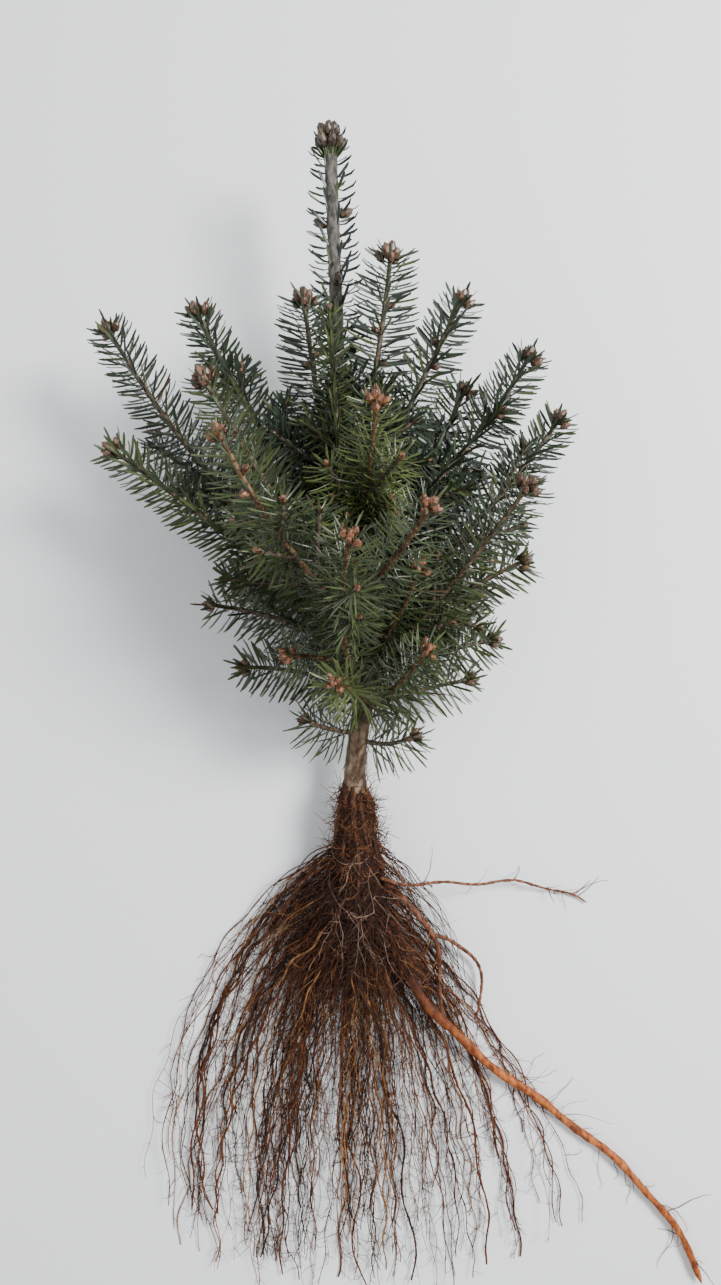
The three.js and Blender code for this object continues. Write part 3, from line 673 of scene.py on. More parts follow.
def needle_shapes(roots, tips, tops, green, width=1.5, bend=1, turned=NEEDLE_ROLL):
    """Needles of one shoot as a shape: most in its own green, a few lighter, older or dead."""
    count = len(roots)
    along = tips - roots
    across = unit(np.cross(along, tops))
    normal = np.cross(across, unit(along))
    roll = np.radians(draws.normal(0, turned, count))[:, None]
    across, normal = (
        across * np.cos(roll) + normal * np.sin(roll),
        normal * np.cos(roll) - across * np.sin(roll),
    )
    size = np.linalg.norm(along, axis=1, keepdims=True) / NEEDLE_LENGTH
    width = width * (0.7 + 0.3 * size)
    level = 1 - (unit(along) * tops).sum(axis=1, keepdims=True) ** 2
    bow = normal * NEEDLE_BOW * bend * draws.uniform(0.3, 1.3, (count, 1)) * size * level
    corners, faces = copies(
        needle_corners, needle_faces, roots, across * width, along, normal * NEEDLE_THICKNESS, bow,
    )
    names = list(GREENS)
    shares = {green: OWN_GREEN} | OTHER_GREENS
    chances = [shares.get(name, 0) / sum(shares.values()) for name in names]
    chosen = draws.choice(len(names), count, p=chances)
    finishes = np.where(under_bands[None], len(GREENS), chosen[:, None]).ravel()
    return corners, faces, finishes


def tip_needles(line, count, seed, shortest=8, apart=1, below=0):
    """The ring of short needles that stands round the buds at a shoot's tip."""
    number = np.arange(count)
    along = unit(line(1.0) - line(0.97))
    side, out = cross_axes(along)
    turn = (2 * np.pi * (number + 0.6 * chance(seed + number)) / count)[:, None]
    away = side * np.sin(turn) + out * np.cos(turn)
    lean = np.radians(RING_LEAN[0] + RING_LEAN[1] * chance(seed + 2 * number))[:, None]
    reach = shortest * (1 + RING_SPREAD * chance(seed + 3 * number))[:, None]
    reach = reach * (1 - RING_SHORTER_ON_TOP * np.maximum(np.cos(turn), 0))
    roots = line(1.0) - along * (below + 1.5 * chance(seed + 5 * number)[:, None])
    tips = roots + (away * np.sin(lean) + along * np.cos(lean)) * reach
    tips[:, 2] = np.maximum(tips[:, 2], FLOOR_CLEARANCE + NEEDLE_THICKNESS)
    tops = np.tile(unit(along + 1.2 * out), (count, 1))
    return roots + away * apart, tips + away * (apart - 1), tops


def spray_of(limb, seed):
    """All the needles of a limb and its side twigs."""
    line, length = limb["line"], limb["length"]
    green, size = limb["green"], limb["size"]
    turned = RIGHT_ROLL if limb["heading"] > RIGHT_HEADING else NEEDLE_ROLL
    width, facing = (from_table(table, limb["climb"]) for table in (NEEDLE_WIDTHS, NEEDLE_FACING))

    def along(line, length, start, seed, size, lean=NEEDLE_LEAN):
        needles = grow_needles(
            limb["name"], line, length, lambda part: limb_radius(length, part), start,
            NEEDLE_SPACING / limb["needles"], seed, size, lean,
            facing=facing, press=limb.get("press", NEEDLE_PRESS),
        )
        return needle_shapes(*needles, green, width, 1, turned)

    shapes = [
        along(line, length, BARE_FOOT / length, seed, size, NEEDLE_LEAN + limb["spread"]),
        needle_shapes(*tip_needles(line, TIP_RING, seed, TIP_NEEDLE * size), "middle", width),
    ]
    for twig in limb["twigs"]:
        line, length = twig_line(limb, twig), twig[3]
        shapes.append(along(line, length, TWIG_FOOT, seed + 50, TWIG_NEEDLES * size))
        shapes.append(needle_shapes(*tip_needles(line, TWIG_RING, seed + 51), green, width))
    return shapes


# Each piece of needles is one side of the crown
SPRAYS = {
    "needles_top": ("top_", "middle_front"),
    "needles_left": ("left_",),
    "needles_right": ("right_",),
    "needles_front": ("front",),
    "needles_rear": ("rear_", "base_"),
}
for spray, starts in SPRAYS.items():
    shapes, nodes = [], []
    for index, limb in enumerate(leafy):
        if limb["name"].startswith(starts):
            shapes += spray_of(limb, 100 * index)
            nodes.append("foliage_" + limb["name"])
    piece = joined_piece(spray, shapes, needle_finishes)
    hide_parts(*nodes)

# The stem's own needles: short and few on the smooth leader, and old and dull between the limbs
# below.
# The leader's needles are near black: painted shade for needles seen against the light.
LEADER_NEEDLES = dict(
    start=0, spacing=0.85, seed=7, size=0.74, lean=78, fold=14, facing=1.4, press=62,
)
LEADER_RING = dict(count=24, seed=5, shortest=8, apart=3.2, below=7)
OLD_NEEDLES_FROM = 38
OLD_NEEDLES = dict(start=0, spacing=1.3, seed=31, size=0.85)
BOUGH_NEEDLES = dict(start=0.1, spacing=NEEDLE_SPACING, seed=77)


def stem_part(low, high):
    """The line, the length and the thickness of a part of the stem."""
    return (
        lambda part: stem_point(low + (high - low) * np.asarray(part, float)),
        high - low,
        lambda part: stem_radius(low + (high - low) * part),
    )


leader = stem_part(LEADER_FROM, STEM_LENGTH)
leader_needles = grow_needles("stem", *leader, **LEADER_NEEDLES)
inner_needles = grow_needles("stem", *stem_part(OLD_NEEDLES_FROM, LEADER_FROM), **OLD_NEEDLES)
front = next(limb for limb in LIMBS if limb["bough"] == 1)
bough_needles = grow_needles(
    "front", front["line"], front["length"],
    lambda part: limb_radius(front["length"], part), **BOUGH_NEEDLES,
)
stem_needles = joined_piece("needles_stem", [
    # Painted shade: the leader's needles take the near-black green
    needle_shapes(*leader_needles, "dusk", width=2.1, bend=2.5),
    needle_shapes(*tip_needles(leader[0], **LEADER_RING), "deep"),
    needle_shapes(*inner_needles, "old"),
    needle_shapes(*bough_needles, "middle"),
], needle_finishes)
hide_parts("foliage_leader")

# The buds. Blunt eggs of overlapping scales glazed with resin, in a cluster at each tip and singly
# along the strongest shoots. The egg and one scale are modelled, and scales are laid up round it
# by the golden angle like shingles.
BUD_SCALES = 12
BUD_LENGTH = 6.5
BUD_RADIUS = 1.95
BUD_LEAN = 32
MIDDLE_BUD = 1.1
OUTER_LEAN = (0.62, 1.12)
OUTER_REACH = (1, 1.7)
EGG_SHARE = 0.92
FIRST_SCALE = 0.05
SCALE_SPAN = 0.68
SCALE_REACH = 0.3
SCALE_FOOT = 0.96
SCALE_TIP = 1.08
SIDE_BUD = (5.6, 1.9)
LEADER_BUD = (8.6, 2.7)
LEADER_BUDS = ((201, 200), (234, 10), (268, 80), (298, 185), (303, -5))
LEADER_CROWN = dict(count=17, size=1.3, lean=27, apart=1.9, sunk=(-1, 4.5))
BUD_COLOURS = {
    "grey": ((0.03, 0.019, 0.01), (0.078, 0.052, 0.032)),
    "olive": ((0.04, 0.024, 0.012), (0.12, 0.07, 0.04)),
    "brown": ((0.05, 0.024, 0.013), (0.15, 0.08, 0.05)),
    "orange": ((0.09, 0.033, 0.015), (0.24, 0.105, 0.055)),
}

bpy.ops.object.select_all(action="DESELECT")
bpy.ops.mesh.primitive_cube_add(size=1, location=(0, 0, 0))
egg = bpy.context.object
bpy.ops.object.mode_set(mode="EDIT")
bpy.ops.mesh.select_all(action="SELECT")
bpy.ops.mesh.subdivide(number_cuts=2)
bpy.ops.transform.tosphere(value=1)
bpy.ops.object.mode_set(mode="OBJECT")
width = max(corner.co.length for corner in egg.data.vertices)
bpy.ops.object.mode_set(mode="EDIT")
bpy.ops.transform.resize(value=(EGG_SHARE / width, 0.5 / width, EGG_SHARE / width))
bpy.ops.transform.translate(value=(0, 0.5, 0))
pick(egg, lambda place: place.y > 0.7)
bpy.ops.transform.resize(value=(0.8, 1, 0.8), center_override=(0, 0.9, 0))
bpy.ops.object.mode_set(mode="OBJECT")
egg_corners, egg_faces = take_shape(egg)

bpy.ops.mesh.primitive_grid_add(x_subdivisions=2, y_subdivisions=2, size=1, location=(0, 0.5, 0))
scale = bpy.context.object
bpy.ops.object.transform_apply(location=True)
bpy.ops.object.mode_set(mode="EDIT")
pick(scale, lambda place: place.y > 0.9)
bpy.ops.transform.resize(value=(0.5, 1, 1), center_override=(0, 1, 0))
pick(scale, lambda place: place.y > 0.9 and abs(place.x) < 0.01)
bpy.ops.transform.translate(value=(0, 0.2, 0))
pick(scale, lambda place: abs(place.x) > 0.1)
bpy.ops.transform.translate(value=(0, 0, -0.18))
bpy.ops.mesh.select_all(action="SELECT")
bpy.ops.mesh.solidify(thickness=0.12)
bpy.ops.mesh.normals_make_consistent(inside=False)
bpy.ops.object.mode_set(mode="OBJECT")
scale_corners, scale_faces = take_shape(scale)
# Solidify lists the rim's faces in another order on each run, so they are put in one order
scale_faces = scale_faces[np.lexsort(scale_faces.T[::-1])]


def bud_girth(part):
    """How wide the bud is at a part of its height, as a share of its radius."""
    return np.sqrt(np.clip(1 - (2 * part - 1) ** 2, 0.02, 1)) * np.interp(part, (0.6, 1), (1, 0.8))


def spokes(turn):
    """The directions away from and round a line along Y, at some angles round it."""
    cosine, sine = np.cos(turn), np.sin(turn)
    return np.stack([cosine, 0 * sine, sine], axis=-1), np.stack([-sine, 0 * sine, cosine], axis=-1)


number = np.arange(BUD_SCALES)
part = FIRST_SCALE + SCALE_SPAN * number / BUD_SCALES
outward, sideways = spokes(np.radians(GOLDEN_ANGLE * number))
feet = bud_girth(part) * SCALE_FOOT
scale_roots = outward * feet[:, None] + NORTH * part[:, None]
inwards = bud_girth(np.minimum(part + SCALE_REACH, 0.98)) * SCALE_TIP - feet
upward = np.array([0, SCALE_REACH, 0]) + outward * inwards[:, None]
shell_corners, shell_faces = copies(
    scale_corners, scale_faces, scale_roots,
    -sideways * (0.35 + 0.6 * bud_girth(part))[:, None], upward, outward * 0.7,
)
bud_corners = np.concatenate([egg_corners, shell_corners])
bud_faces = np.concatenate([egg_faces, shell_faces + len(egg_corners)])
bud_tones = np.concatenate([
    np.zeros(len(egg_faces), int),
    np.repeat(number % 4 > 0, len(scale_faces)).astype(int),
])


bud_finishes = [
    waxy_finish(f"bud_{name}_{tone}", colour, 0.4, 0.35)
    for name, colours in BUD_COLOURS.items() for tone, colour in zip(("dark", "light"), colours)
]


def place_buds(rows, colour):
    """Buds as a shape. Each row is a foot, a direction, a length and a radius."""
    feet, towards, *sizes = (np.array(column, float) for column in zip(*rows))
    along = unit(towards)
    lengths, widths = (size[:, None] for size in sizes)
    side, out = cross_axes(along)
    roll = draws.uniform(0, 2 * np.pi, (len(rows), 1))
    across = side * np.cos(roll) + out * np.sin(roll)
    normal = np.cross(across, along)
    corners, faces = copies(
        bud_corners, bud_faces, feet, across * widths, along * lengths, normal * widths,
    )
    first = 2 * list(BUD_COLOURS).index(colour)
    return corners, faces, np.tile(first + bud_tones, len(rows))


def bud_cluster(line, count, size, lean=BUD_LEAN, apart=1.5, sunk=(1.2, 2.8)):
    """The rows of the buds at a tip: one in the middle and the rest leaning out round it."""
    along = unit(line(1.0) - line(0.97))
    side, out = cross_axes(along)
    grown = MIDDLE_BUD * size
    rows = [(line(1.0) - along * sunk[0], along, BUD_LENGTH * grown, BUD_RADIUS * grown)]
    for index in range(count - 1):
        turn = 2 * np.pi * (index + 0.35 * draws.random()) / (count - 1) + count
        away = side * np.sin(turn) + out * np.cos(turn)
        outer = index % 2
        tilt = np.radians(lean * OUTER_LEAN[outer] * draws.uniform(0.85, 1.15))
        towards = along * np.cos(tilt) + away * np.sin(tilt)
        foot = line(1.0) + away * OUTER_REACH[outer] * size * apart - along * sunk[outer]
        grown = size * draws.uniform(0.75, 1.05)
        rows.append((foot, towards, BUD_LENGTH * grown, BUD_RADIUS * grown))
    return rows


bud_shapes = []
for limb in leafy:
    line, size = limb["line"], limb["bud_size"]
    colour = "orange" if limb["wood"] == "orange" else "brown" if size > 1.1 else "olive"
    rows = bud_cluster(line, limb["buds"], size)
    along = unit(line(1.0) - line(0.9))
    side, out = cross_axes(along)
    for at, way in limb["side_buds"]:
        towards = along * 0.6 + side * way + out * 0.3
        rows.append((line(at) + side * way * 0.8, towards, *SIDE_BUD))
    for twig in limb["twigs"]:
        count, size = 3 if twig[0] > 0.5 else 1, 0.6 if twig[0] < 0.25 else 0.75
        rows += bud_cluster(twig_line(limb, twig), count, size)
    bud_shapes.append(place_buds(rows, colour))
leader_rows = bud_cluster(leader[0], **LEADER_CROWN)
for at, around in LEADER_BUDS:
    towards = unit(spokes(np.radians(around))[0] + np.array([0, 0.5, 0]))
    leader_rows.append((stem_point(at) + towards * stem_radius(at) * 0.9, towards, *LEADER_BUD))
bud_shapes.append(place_buds(leader_rows, "grey"))
buds = joined_piece("buds", bud_shapes, bud_finishes)

# The root stock. A lump of matted fibres under the collar, red to golden outside, with painted
# shade
# inside: its core is drawn down its middle line, raised in clods and coloured near black, and the
# fibres are grown out of it.
STOCK_LENGTH = 94
STOCK_SINK = 12.4
STOCK_LEAN = 3.4
STOCK_GAP = 0.3
STOCK_TAPER = {-7: 4.5, -2: 6.6, 4: 8.4, 14: 10.5, 34: 13.5, 62: 16, 84: 12.5, 94: 5}
MAT_FIBRES = 2200
PALE_ROOTLETS = 26
MAT_STEPS = 6
MAT_SIDES = 4
# The upper half of the mat is fuzzy and redder, and the lower half is combed down and dark
FUZZY_MAT = dict(fall=-0.5, lengths=(5, 18), wander=0.75, tones=(0.5, 0.42, 0.08))
COMBED_MAT = dict(fall=0.2, lengths=(8, 30), wander=0.4, tones=(0.93, 0.06, 0.01))
FIBRE_TONES = {
    "dark": ((0.012, 0.005, 0.003), (0.026, 0.01, 0.006), (0.055, 0.023, 0.012)),
    "red": ((0.05, 0.014, 0.005), (0.09, 0.028, 0.01), (0.15, 0.052, 0.018)),
    "golden": ((0.12, 0.048, 0.016), (0.2, 0.09, 0.032), (0.32, 0.16, 0.065)),
    "pale": ((0.08, 0.044, 0.03), (0.14, 0.084, 0.058), (0.25, 0.16, 0.115)),
}
PALE = list(FIBRE_TONES).index("pale")

# Painted shade: the core's near-black tones stand for the shade deep inside the lump between the
# fibres
stock_core_painted_shade = wood_finish(
    "root_stock_core", (0.008, 0.003, 0.002), (0.02, 0.007, 0.003), (0.06, 0.02, 0.008),
    grain=2.5, roughness=0.92, relief=0.6,
)
fibre_finishes = [
    wood_finish("fibre_" + name, *tones, grain=3, roughness=0.9, relief=0.1)
    for name, tones in FIBRE_TONES.items()
]


def stock_point(part):
    """Where the stock's middle line is at parts of its length."""
    part = np.asarray(part, float)
    return PLANT_AT + np.stack([
        STOCK_LEAN * part, -STOCK_GAP - part * STOCK_LENGTH, COLLAR_HEIGHT - STOCK_SINK * part,
    ], axis=-1)


def stock_radius(part):
    """How thick the stock is at parts of its length."""
    return from_table(STOCK_TAPER, np.asarray(part) * STOCK_LENGTH)


parts = np.linspace(min(STOCK_TAPER) / STOCK_LENGTH, 1, 34)
stock_core = draw_limb("root_stock_core", stock_point(parts), 0.9 * stock_radius(parts), 3)
stock_reliefs = [("CLOUDS", 9, 4.5), ("CLOUDS", 2.5, 2), ("STUCCI", 1, 0.8)]
add_bark(stock_core, stock_core_painted_shade, 2, stock_reliefs)
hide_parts("root_stock")


def grow_fibre(start, heading, length, thick, wander, droop, steps=MAT_STEPS):
    """One wandering fibre that thins to its end and lies down where it meets the floor."""
    heading = unit(np.asarray(heading, float))
    walk = np.cumsum(draws.normal(0, wander, (steps, 3)), axis=0)
    headings = unit(heading + walk + np.array([0, 0, -droop]) * np.linspace(0, 1, steps)[:, None])
    points = np.concatenate([[start], start + np.cumsum(headings * length / steps, axis=0)])
    points[:, 2] = np.maximum(points[:, 2], thick + 0.15)
    return tube(points, thick * np.linspace(1, 0.35, steps + 1), MAT_SIDES)


mat_shapes = []
for _ in range(MAT_FIBRES):
    part = 1.04 * draws.random() - 0.04
    outward, sideways = spokes(draws.uniform(0, 2 * np.pi))
    start = stock_point(part) + outward * stock_radius(part) * draws.uniform(0.88, 1.04)
    mat = FUZZY_MAT if part < 0.5 else COMBED_MAT
    heading = (
        np.array([0, -1, 0]) * draws.uniform(mat["fall"], 1.2)
        + outward * draws.uniform(-0.1, 0.6) + sideways * draws.normal(0, 1)
    )
    length, tone = draws.uniform(*mat["lengths"]), draws.choice(3, p=mat["tones"])
    thick = draws.uniform(0.12, 0.3)
    shape = grow_fibre(start, heading, length, thick, mat["wander"], droop=0.4)
    mat_shapes.append((*shape, tone))

# Pale forked rootlets lie over the dark stock
for _ in range(PALE_ROOTLETS):
    part = draws.uniform(0.3, 1)
    outward = spokes(draws.uniform(0.1, np.pi - 0.1))[0]
    start = stock_point(part) + outward * stock_radius(part) * 1.05
    heading = np.array([draws.normal(0, 0.7), -1, 0]) + outward * 0.35
    length, thick = draws.uniform(16, 42), draws.uniform(0.2, 0.38)
    shape = grow_fibre(start, heading, length, thick, wander=0.35, droop=0.3)
    mat_shapes.append((*shape, PALE))
    joints = shape[0].reshape(-1, MAT_SIDES, 3).mean(axis=1)
    for joint in draws.choice(np.arange(1, MAT_STEPS), 3, replace=False):
        aside = draws.choice((-1, 1)) * draws.uniform(0.7, 1.6)
        shape = grow_fibre(
            joints[joint], heading + np.array([aside, 0, draws.uniform(-0.1, 0.4)]),
            draws.uniform(6, 18), draws.uniform(0.13, 0.22), wander=0.35, droop=0.3,
        )
        mat_shapes.append((*shape, PALE))
root_mat = joined_piece("root_mat", mat_shapes, fibre_finishes)
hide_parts("root_stock")

# Main roots leave the foot of the stem and run down over the stock
COLLAR_ROOTS = 11
COLLAR_ROOT_TAPER = {-0.09: 0.7, 0.02: 1, 0.3: 0.7, 0.8: 0.35}

collar_roots = []
for index in range(COLLAR_ROOTS):
    parts = np.linspace(min(COLLAR_ROOT_TAPER), draws.uniform(0.35, 0.8), 40)
    waver = 0.5 * np.sin(5 * parts + index) * np.clip(parts, 0, 1)
    outward = spokes(2 * np.pi * index / COLLAR_ROOTS + waver)[0]
    sink = 0.9 + 0.08 * np.sin(17 * parts + 2 * index)
    points = stock_point(parts) + outward * (stock_radius(parts) * sink)[:, None]
    thick = draws.uniform(1.0, 1.9)
    radii = thick * from_table(COLLAR_ROOT_TAPER, parts)
    collar_roots.append(draw_limb(f"collar_root_{index}", points, radii, 1))
collar_roots = join_pieces("collar_roots", collar_roots)
collar_root_finish = wood_finish(
    "collar_root_bark", (0.02, 0.008, 0.004), (0.05, 0.02, 0.01), (0.11, 0.05, 0.025),
    grain=3, roughness=0.9, relief=0.25,
)
add_bark(collar_roots, collar_root_finish, 1, [("CLOUDS", 3, 0.8), ("CLOUDS", 0.9, 0.25)])
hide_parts("root_stock")

# The thick roots. One long orange one runs off to the right with knots and shallow rings, and two
# thinner ones run beside it, one of them forked. Each is drawn as a path that turns from one
# heading to another and comes down to the floor.
ROOT_STEPS = 60
ROOTS = {
    "root_long": dict(right=17, down=76, height=20, start=17, end=20, swing=35, length=286,
                      thick=2.8, thin=1.7, settle=0.55, rest=3.4, wave=5, waves=5, phase=76),
    "root_medium": dict(right=12, down=53, height=17, start=74, end=-5, swing=-15, length=98,
                        thick=2.1, thin=0.9, settle=1, rest=7, wave=8, waves=2, phase=53),
    "root_thin_right": dict(right=14, down=48, height=27, start=78, end=57, swing=20, length=124,
                            thick=0.95, thin=0.6, settle=1, rest=1.6, wave=10, waves=3, phase=48),
}
FORK_AT = 0.47
MEDIUM_FORK = dict(start=84, end=-32, swing=0, length=66, thick=1.2, thin=0.7,
                   settle=0.5, rest=5, wave=8, waves=2, phase=71.8)
KNOTS = (0.08, 0.2, 0.31, 0.43, 0.5, 0.62, 0.71, 0.83, 0.92)
KNOT_SWELLING = 0.5
KNOT_REACH = 0.012
STAIN_FULL = -145
STAIN_GONE = -200
STAIN_COLOUR = (0.18, 0.15, 0.17)


def root_line(root, start):
    """A root's middle line, as a function that takes parts of its length."""
    part = (np.arange(ROOT_STEPS) + 0.5) / ROOT_STEPS
    waver = root["wave"] * np.sin(2 * np.pi * root["waves"] * part + root["phase"])
    bend = root["swing"] * np.sin(np.pi * part)
    heading = np.radians(root["start"] + (root["end"] - root["start"]) * part + bend + waver)
    step = root["length"] / ROOT_STEPS
    right = start[0] + np.concatenate([[0], np.cumsum(np.sin(heading) * step)])
    up = start[1] - np.concatenate([[0], np.cumsum(np.cos(heading) * step)])
    settled = np.clip(np.arange(ROOT_STEPS + 1) / ROOT_STEPS / root["settle"], 0, 1)
    settled = settled ** 2 * (3 - 2 * settled)
    height = start[2] + (root["rest"] - start[2]) * settled
    places = np.column_stack([right, up, height])
    known = np.linspace(0, 1, ROOT_STEPS + 1)

    def line(part):
        part = np.asarray(part, float)
        return np.stack([np.interp(part, known, places[:, axis]) for axis in range(3)], axis=-1)

    return line


def root_radii(root, parts):
    """How thick a root is at parts of its length, before its knots and waves."""
    return root["thick"] + (root["thin"] - root["thick"]) * parts


long_root_finish = wood_finish(
    "long_root_bark", (0.12, 0.028, 0.006), (0.29, 0.072, 0.014), (0.46, 0.15, 0.034),
    grain=3.5, roughness=0.55, relief=0.35,
)
# The long root is stained dark beside the stock, and the stain fades out down its length
nodes, links = long_root_finish.node_tree.nodes, long_root_finish.node_tree.links
place = nodes.new("ShaderNodeTexCoord")
split = nodes.new("ShaderNodeSeparateXYZ")
links.new(place.outputs["Object"], split.inputs["Vector"])
shade = nodes.new("ShaderNodeMapRange")
shade.inputs["From Min"].default_value = STAIN_GONE * MM
shade.inputs["From Max"].default_value = STAIN_FULL * MM
links.new(split.outputs["Y"], shade.inputs["Value"])
stain = nodes.new("ShaderNodeMix")
stain.data_type = "RGBA"
stain.blend_type = "MULTIPLY"
stain.inputs["B"].default_value = (*STAIN_COLOUR, 1)
links.new(shade.outputs["Result"], stain.inputs["Factor"])
links.new(nodes["Principled BSDF"].inputs["Base Color"].links[0].from_socket, stain.inputs["A"])
links.new(stain.outputs["Result"], nodes["Principled BSDF"].inputs["Base Color"])
medium_root_finish = wood_finish(
    "medium_root_bark", (0.05, 0.017, 0.008), (0.12, 0.042, 0.02), (0.24, 0.1, 0.05),
    grain=3, roughness=0.75, relief=0.2,
)

root_lines = {
    name: root_line(root, PLANT_AT + np.array([root["right"], -root["down"], root["height"]]))
    for name, root in ROOTS.items()
}
parts = np.linspace(0, 1, 150)
radii = root_radii(ROOTS["root_long"], parts)
radii = radii + 0.07 * np.sin(190 * parts + 3 * np.sin(23 * parts)) + 0.16 * np.sin(67 * parts)
for knot in KNOTS:
    radii = radii + KNOT_SWELLING * np.exp(-(((parts - knot) / KNOT_REACH) ** 2))
radii[-3:] *= (0.8, 0.55, 0.2)
root_long = draw_limb("long_root", root_lines["root_long"](parts), radii, 2)
long_reliefs = [("CLOUDS", 7, 0.8), ("VORONOI", 2, -0.3), ("CLOUDS", 0.8, 0.35)]
add_bark(root_long, long_root_finish, 1, long_reliefs)
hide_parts("root_long")

root_lines["medium_fork"] = root_line(MEDIUM_FORK, root_lines["root_medium"](FORK_AT))
parts = np.linspace(0, 1, 80)
forks = []
for name in ("root_medium", "medium_fork", "root_thin_right"):
    radii = root_radii(ROOTS.get(name, MEDIUM_FORK), parts)
    radii = radii + 0.12 * np.sin(110 * parts + 2 * np.sin(17 * parts))
    radii[-2:] *= (0.7, 0.3)
    forks.append(draw_limb(name + "_bark", root_lines[name](parts), radii, 1))
medium_roots = join_pieces("medium_roots", forks)
add_bark(medium_roots, medium_root_finish, 1, [("CLOUDS", 2.5, 0.6), ("CLOUDS", 0.9, 0.2)])
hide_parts("root_medium", "root_thin_right")

# The fine roots. A curtain of thin wavy strands runs down from the stock and lies on the floor,
# each with short rootlets on both sides. They grow in five groups, as the solids do.
FINE_ROOTS = {
    "roots_far_left": dict(right=-11, down=52, height=10, start=-46, end=8, length=228, strands=44),
    "roots_left": dict(right=-9, down=72, height=8, start=-27, end=4, length=221, strands=52),
    "roots_middle": dict(right=-4, down=84, height=7, start=-8, end=0, length=211, strands=50),
    "roots_right": dict(right=5, down=84, height=7, start=14, end=-2, length=204, strands=46),
    "roots_far_right": dict(right=11, down=80, height=8, start=32, end=2, length=212, strands=42),
}
STRAND_STEP = 3.6
STRAND_SIDES = 4
# The radii of the strands, each with its share of them
STRAND_RADII = {0.22: 0.35, 0.32: 0.37, 0.45: 0.2, 0.7: 0.08}
STRAND_SPREAD = 20
ROOTLET_STEPS = 5
ROOTLET_CHANCE = 0.75


def strand_points(root, start, steps, radius):
    """The points of a thin wavering root that comes down to the floor."""
    points = root_line(root, start)(np.linspace(0, 1, steps))
    tremor = np.cumsum(draws.normal(0, 0.22, (steps, 3)), axis=0)
    points = points + tremor * np.array([1, 0.3, 0.35])
    points[:, 2] = np.maximum(points[:, 2], radius + 0.1)
    return points


for name, group in FINE_ROOTS.items():
    shapes = []
    for index in range(group["strands"]):
        spread = 2 * (index + 0.5) / group["strands"] - 1
        root = dict(
            phase=draws.uniform(0, 6.3),
            start=np.clip(group["start"] + STRAND_SPREAD * spread + draws.normal(0, 5), -57, 52),
            end=group["end"] + draws.normal(0, 4),
            swing=draws.normal(0, 4),
            length=group["length"] * min(draws.uniform(0.62, 1.25), 1),
            settle=draws.uniform(0.2, 0.45),
            rest=0.5 + 7 * draws.random() ** 2,
            wave=draws.uniform(7, 19),
            waves=draws.uniform(3, 8),
        )
        start = PLANT_AT + np.array([
            group["right"] + 8 * spread + draws.normal(0, 2),
            -group["down"] + draws.uniform(-8, 16),
            group["height"] + draws.uniform(-3, 12),
        ])
        thick = draws.choice(list(STRAND_RADII), p=list(STRAND_RADII.values()))
        thick = thick * draws.uniform(0.8, 1.2)
        points = strand_points(root, start, int(root["length"] / STRAND_STEP), thick)
        parts = np.linspace(0, 1, len(points))
        radii = thick * (1 - 0.35 * parts) * (1 + 0.15 * np.sin(60 * parts + index))
        tone = draws.choice(3, p=(0.38, 0.5, 0.12))
        shapes.append((*tube(points, radii, STRAND_SIDES), tone))
        for place in range(2, len(points) - 1, 2):
            if draws.random() < ROOTLET_CHANCE:
                way = draws.choice((-1, 1))
                heading = np.array([way * draws.uniform(0.4, 1.4), -1, draws.uniform(-0.1, 0.35)])
                shape = grow_fibre(
                    points[place], heading, draws.uniform(5, 24) * (1 - 0.5 * parts[place]),
                    draws.uniform(0.12, 0.24), wander=0.25, droop=0.4, steps=ROOTLET_STEPS,
                )
                shapes.append((*shape, tone))
    piece = joined_piece(name + "_strands", shapes, fibre_finishes)
    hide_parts(name)

# Finer roots still fill the shoulder between the stock and the curtain
SHOULDER_FIBRES = 420
SHOULDER_STEP = 4

shoulder_shapes = []
for _ in range(SHOULDER_FIBRES):
    part = draws.uniform(0.3, 1)
    turn = draws.uniform(-0.4, np.pi + 0.4)
    start = stock_point(part) + stock_radius(part) * 0.8 * spokes(turn)[0]
    heading = np.clip(60 * np.cos(turn) + draws.normal(0, 12), -60, 54)
    root = dict(
        phase=draws.uniform(0, 6.3), start=heading, end=0.1 * heading, swing=0.15 * heading,
        length=draws.uniform(35, 105), settle=draws.uniform(0.5, 1), rest=0.4 + 8 * draws.random(),
        wave=draws.uniform(6, 16), waves=draws.uniform(1.5, 4),
    )
    thick = draws.uniform(0.15, 0.4)
    points = strand_points(root, start, int(root["length"] / SHOULDER_STEP), thick)
    shape = tube(points, thick * np.linspace(1, 0.4, len(points)), STRAND_SIDES)
    shoulder_shapes.append((*shape, draws.choice(3, p=(0.74, 0.23, 0.03))))
shoulder = joined_piece("root_shoulder", shoulder_shapes, fibre_finishes)
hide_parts("root_stock")

# Rootlets leave the thick roots all along: how many on each, and how long at most
ROOTLETS = {"root_long": (46, 34), "root_medium": (16, 26), "root_thin_right": (18, 26)}

rootlet_shapes = []
for name, (count, longest) in ROOTLETS.items():
    line = root_lines[name]
    for _ in range(count):
        at = draws.uniform(0.03, 0.95)
        along = unit(line(at + 0.02) - line(at - 0.02))
        side, out = cross_axes(along)
        aside = draws.choice((-1, 1)) * side * draws.uniform(0.4, 1.6)
        shape = grow_fibre(
            line(at), along + aside + out * draws.uniform(-0.2, 0.5),
            draws.uniform(6, longest), draws.uniform(0.15, 0.38), wander=0.28, droop=0.5, steps=7,
        )
        rootlet_shapes.append((*shape, draws.choice(3, p=(0.3, 0.5, 0.2))))

# A sleeve of finer ones hides where the long root leaves the stock
SLEEVE_FIBRES = 110

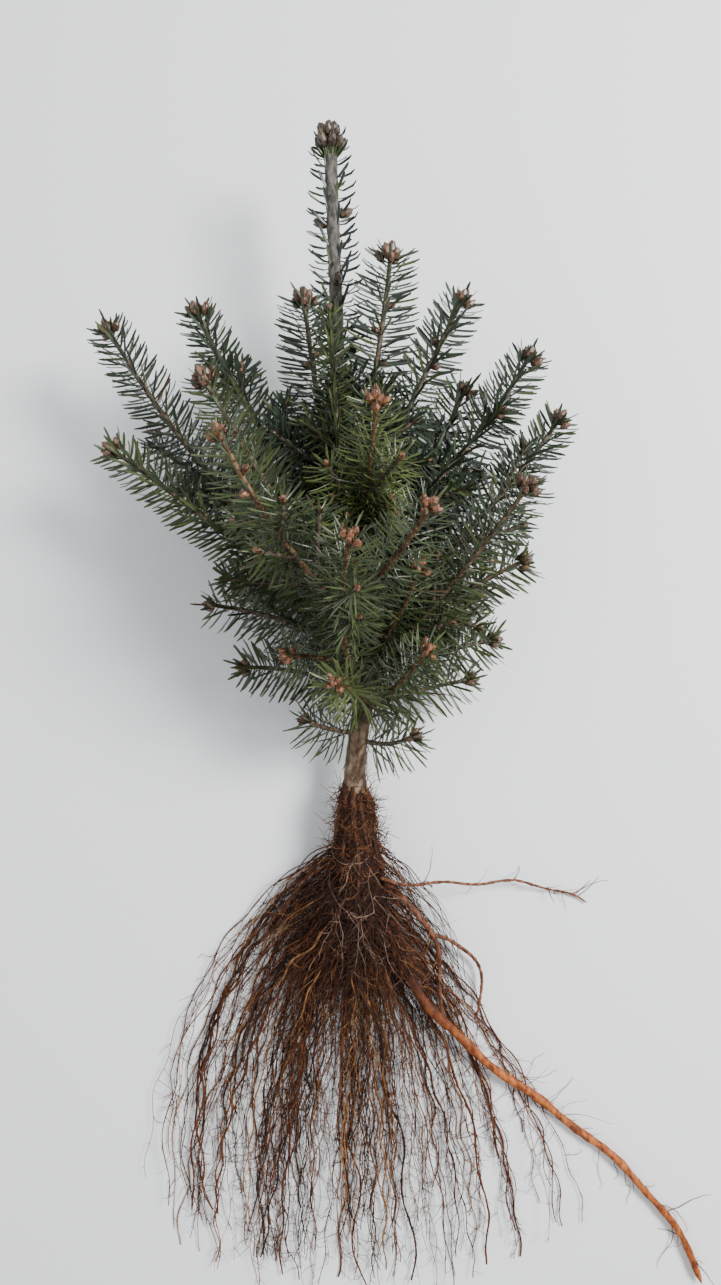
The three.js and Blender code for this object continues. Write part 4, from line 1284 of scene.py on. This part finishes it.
line = root_lines["root_long"]
along = unit(line(0.1) - line(0.0))
side, out = cross_axes(along)
for _ in range(SLEEVE_FIBRES):
    at = draws.uniform(-0.01, 0.1)
    turn = draws.uniform(-0.4, np.pi + 0.4)
    away = side * np.cos(turn) + out * np.sin(turn)
    shape = grow_fibre(
        line(max(at, 0)) + away * 3.2, along + 0.35 * away,
        draws.uniform(8, 26), draws.uniform(0.14, 0.34), wander=0.35, droop=0.5,
    )
    rootlet_shapes.append((*shape, draws.choice(3, p=(0.6, 0.35, 0.05))))
rootlets = joined_piece("rootlets", rootlet_shapes, fibre_finishes)
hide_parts(*ROOTS)

# The floor and the light. A plain pale floor under bright even light from all round, with a soft
# lamp from the top right and a wider, weak one from the left. Their measures are in metres.
FLOOR_SIZE = 8
FLOOR_HEIGHT = -0.0002
FLOOR_COLOUR = (0.84, 0.85, 0.86)
LIGHT_COLOUR = (0.92, 0.95, 1.0)
LIGHT_STRENGTH = 0.6
LAMPS = {
    "key_lamp": dict(place=(0.9, 0.45, 1.1), turn=(-0.307, 0.686, 0), size=0.5, power=44),
    "fill_lamp": dict(place=(-1.1, -0.1, 1.1), turn=(0.064, -0.785, 0), size=1.2, power=8),
}

bpy.ops.object.select_all(action="DESELECT")
bpy.ops.mesh.primitive_plane_add(size=FLOOR_SIZE, location=(0, 0, FLOOR_HEIGHT))
floor = bpy.context.object
floor.name = "floor"
floor_finish = bpy.data.materials.new("pale_floor")
floor_finish.use_nodes = True
shader = floor_finish.node_tree.nodes["Principled BSDF"]
shader.inputs["Base Color"].default_value = (*FLOOR_COLOUR, 1)
shader.inputs["Roughness"].default_value = 0.9
floor.data.materials.append(floor_finish)

sky = bpy.data.worlds.new("studio_sky")
bpy.context.scene.world = sky
sky.use_nodes = True
background = sky.node_tree.nodes["Background"]
background.inputs["Color"].default_value = (*LIGHT_COLOUR, 1)
background.inputs["Strength"].default_value = LIGHT_STRENGTH
for name, light in LAMPS.items():
    bpy.ops.object.light_add(type="AREA", location=light["place"], rotation=light["turn"])
    lamp = bpy.context.object
    lamp.name = name
    lamp.data.size = light["size"]
    lamp.data.energy = light["power"]
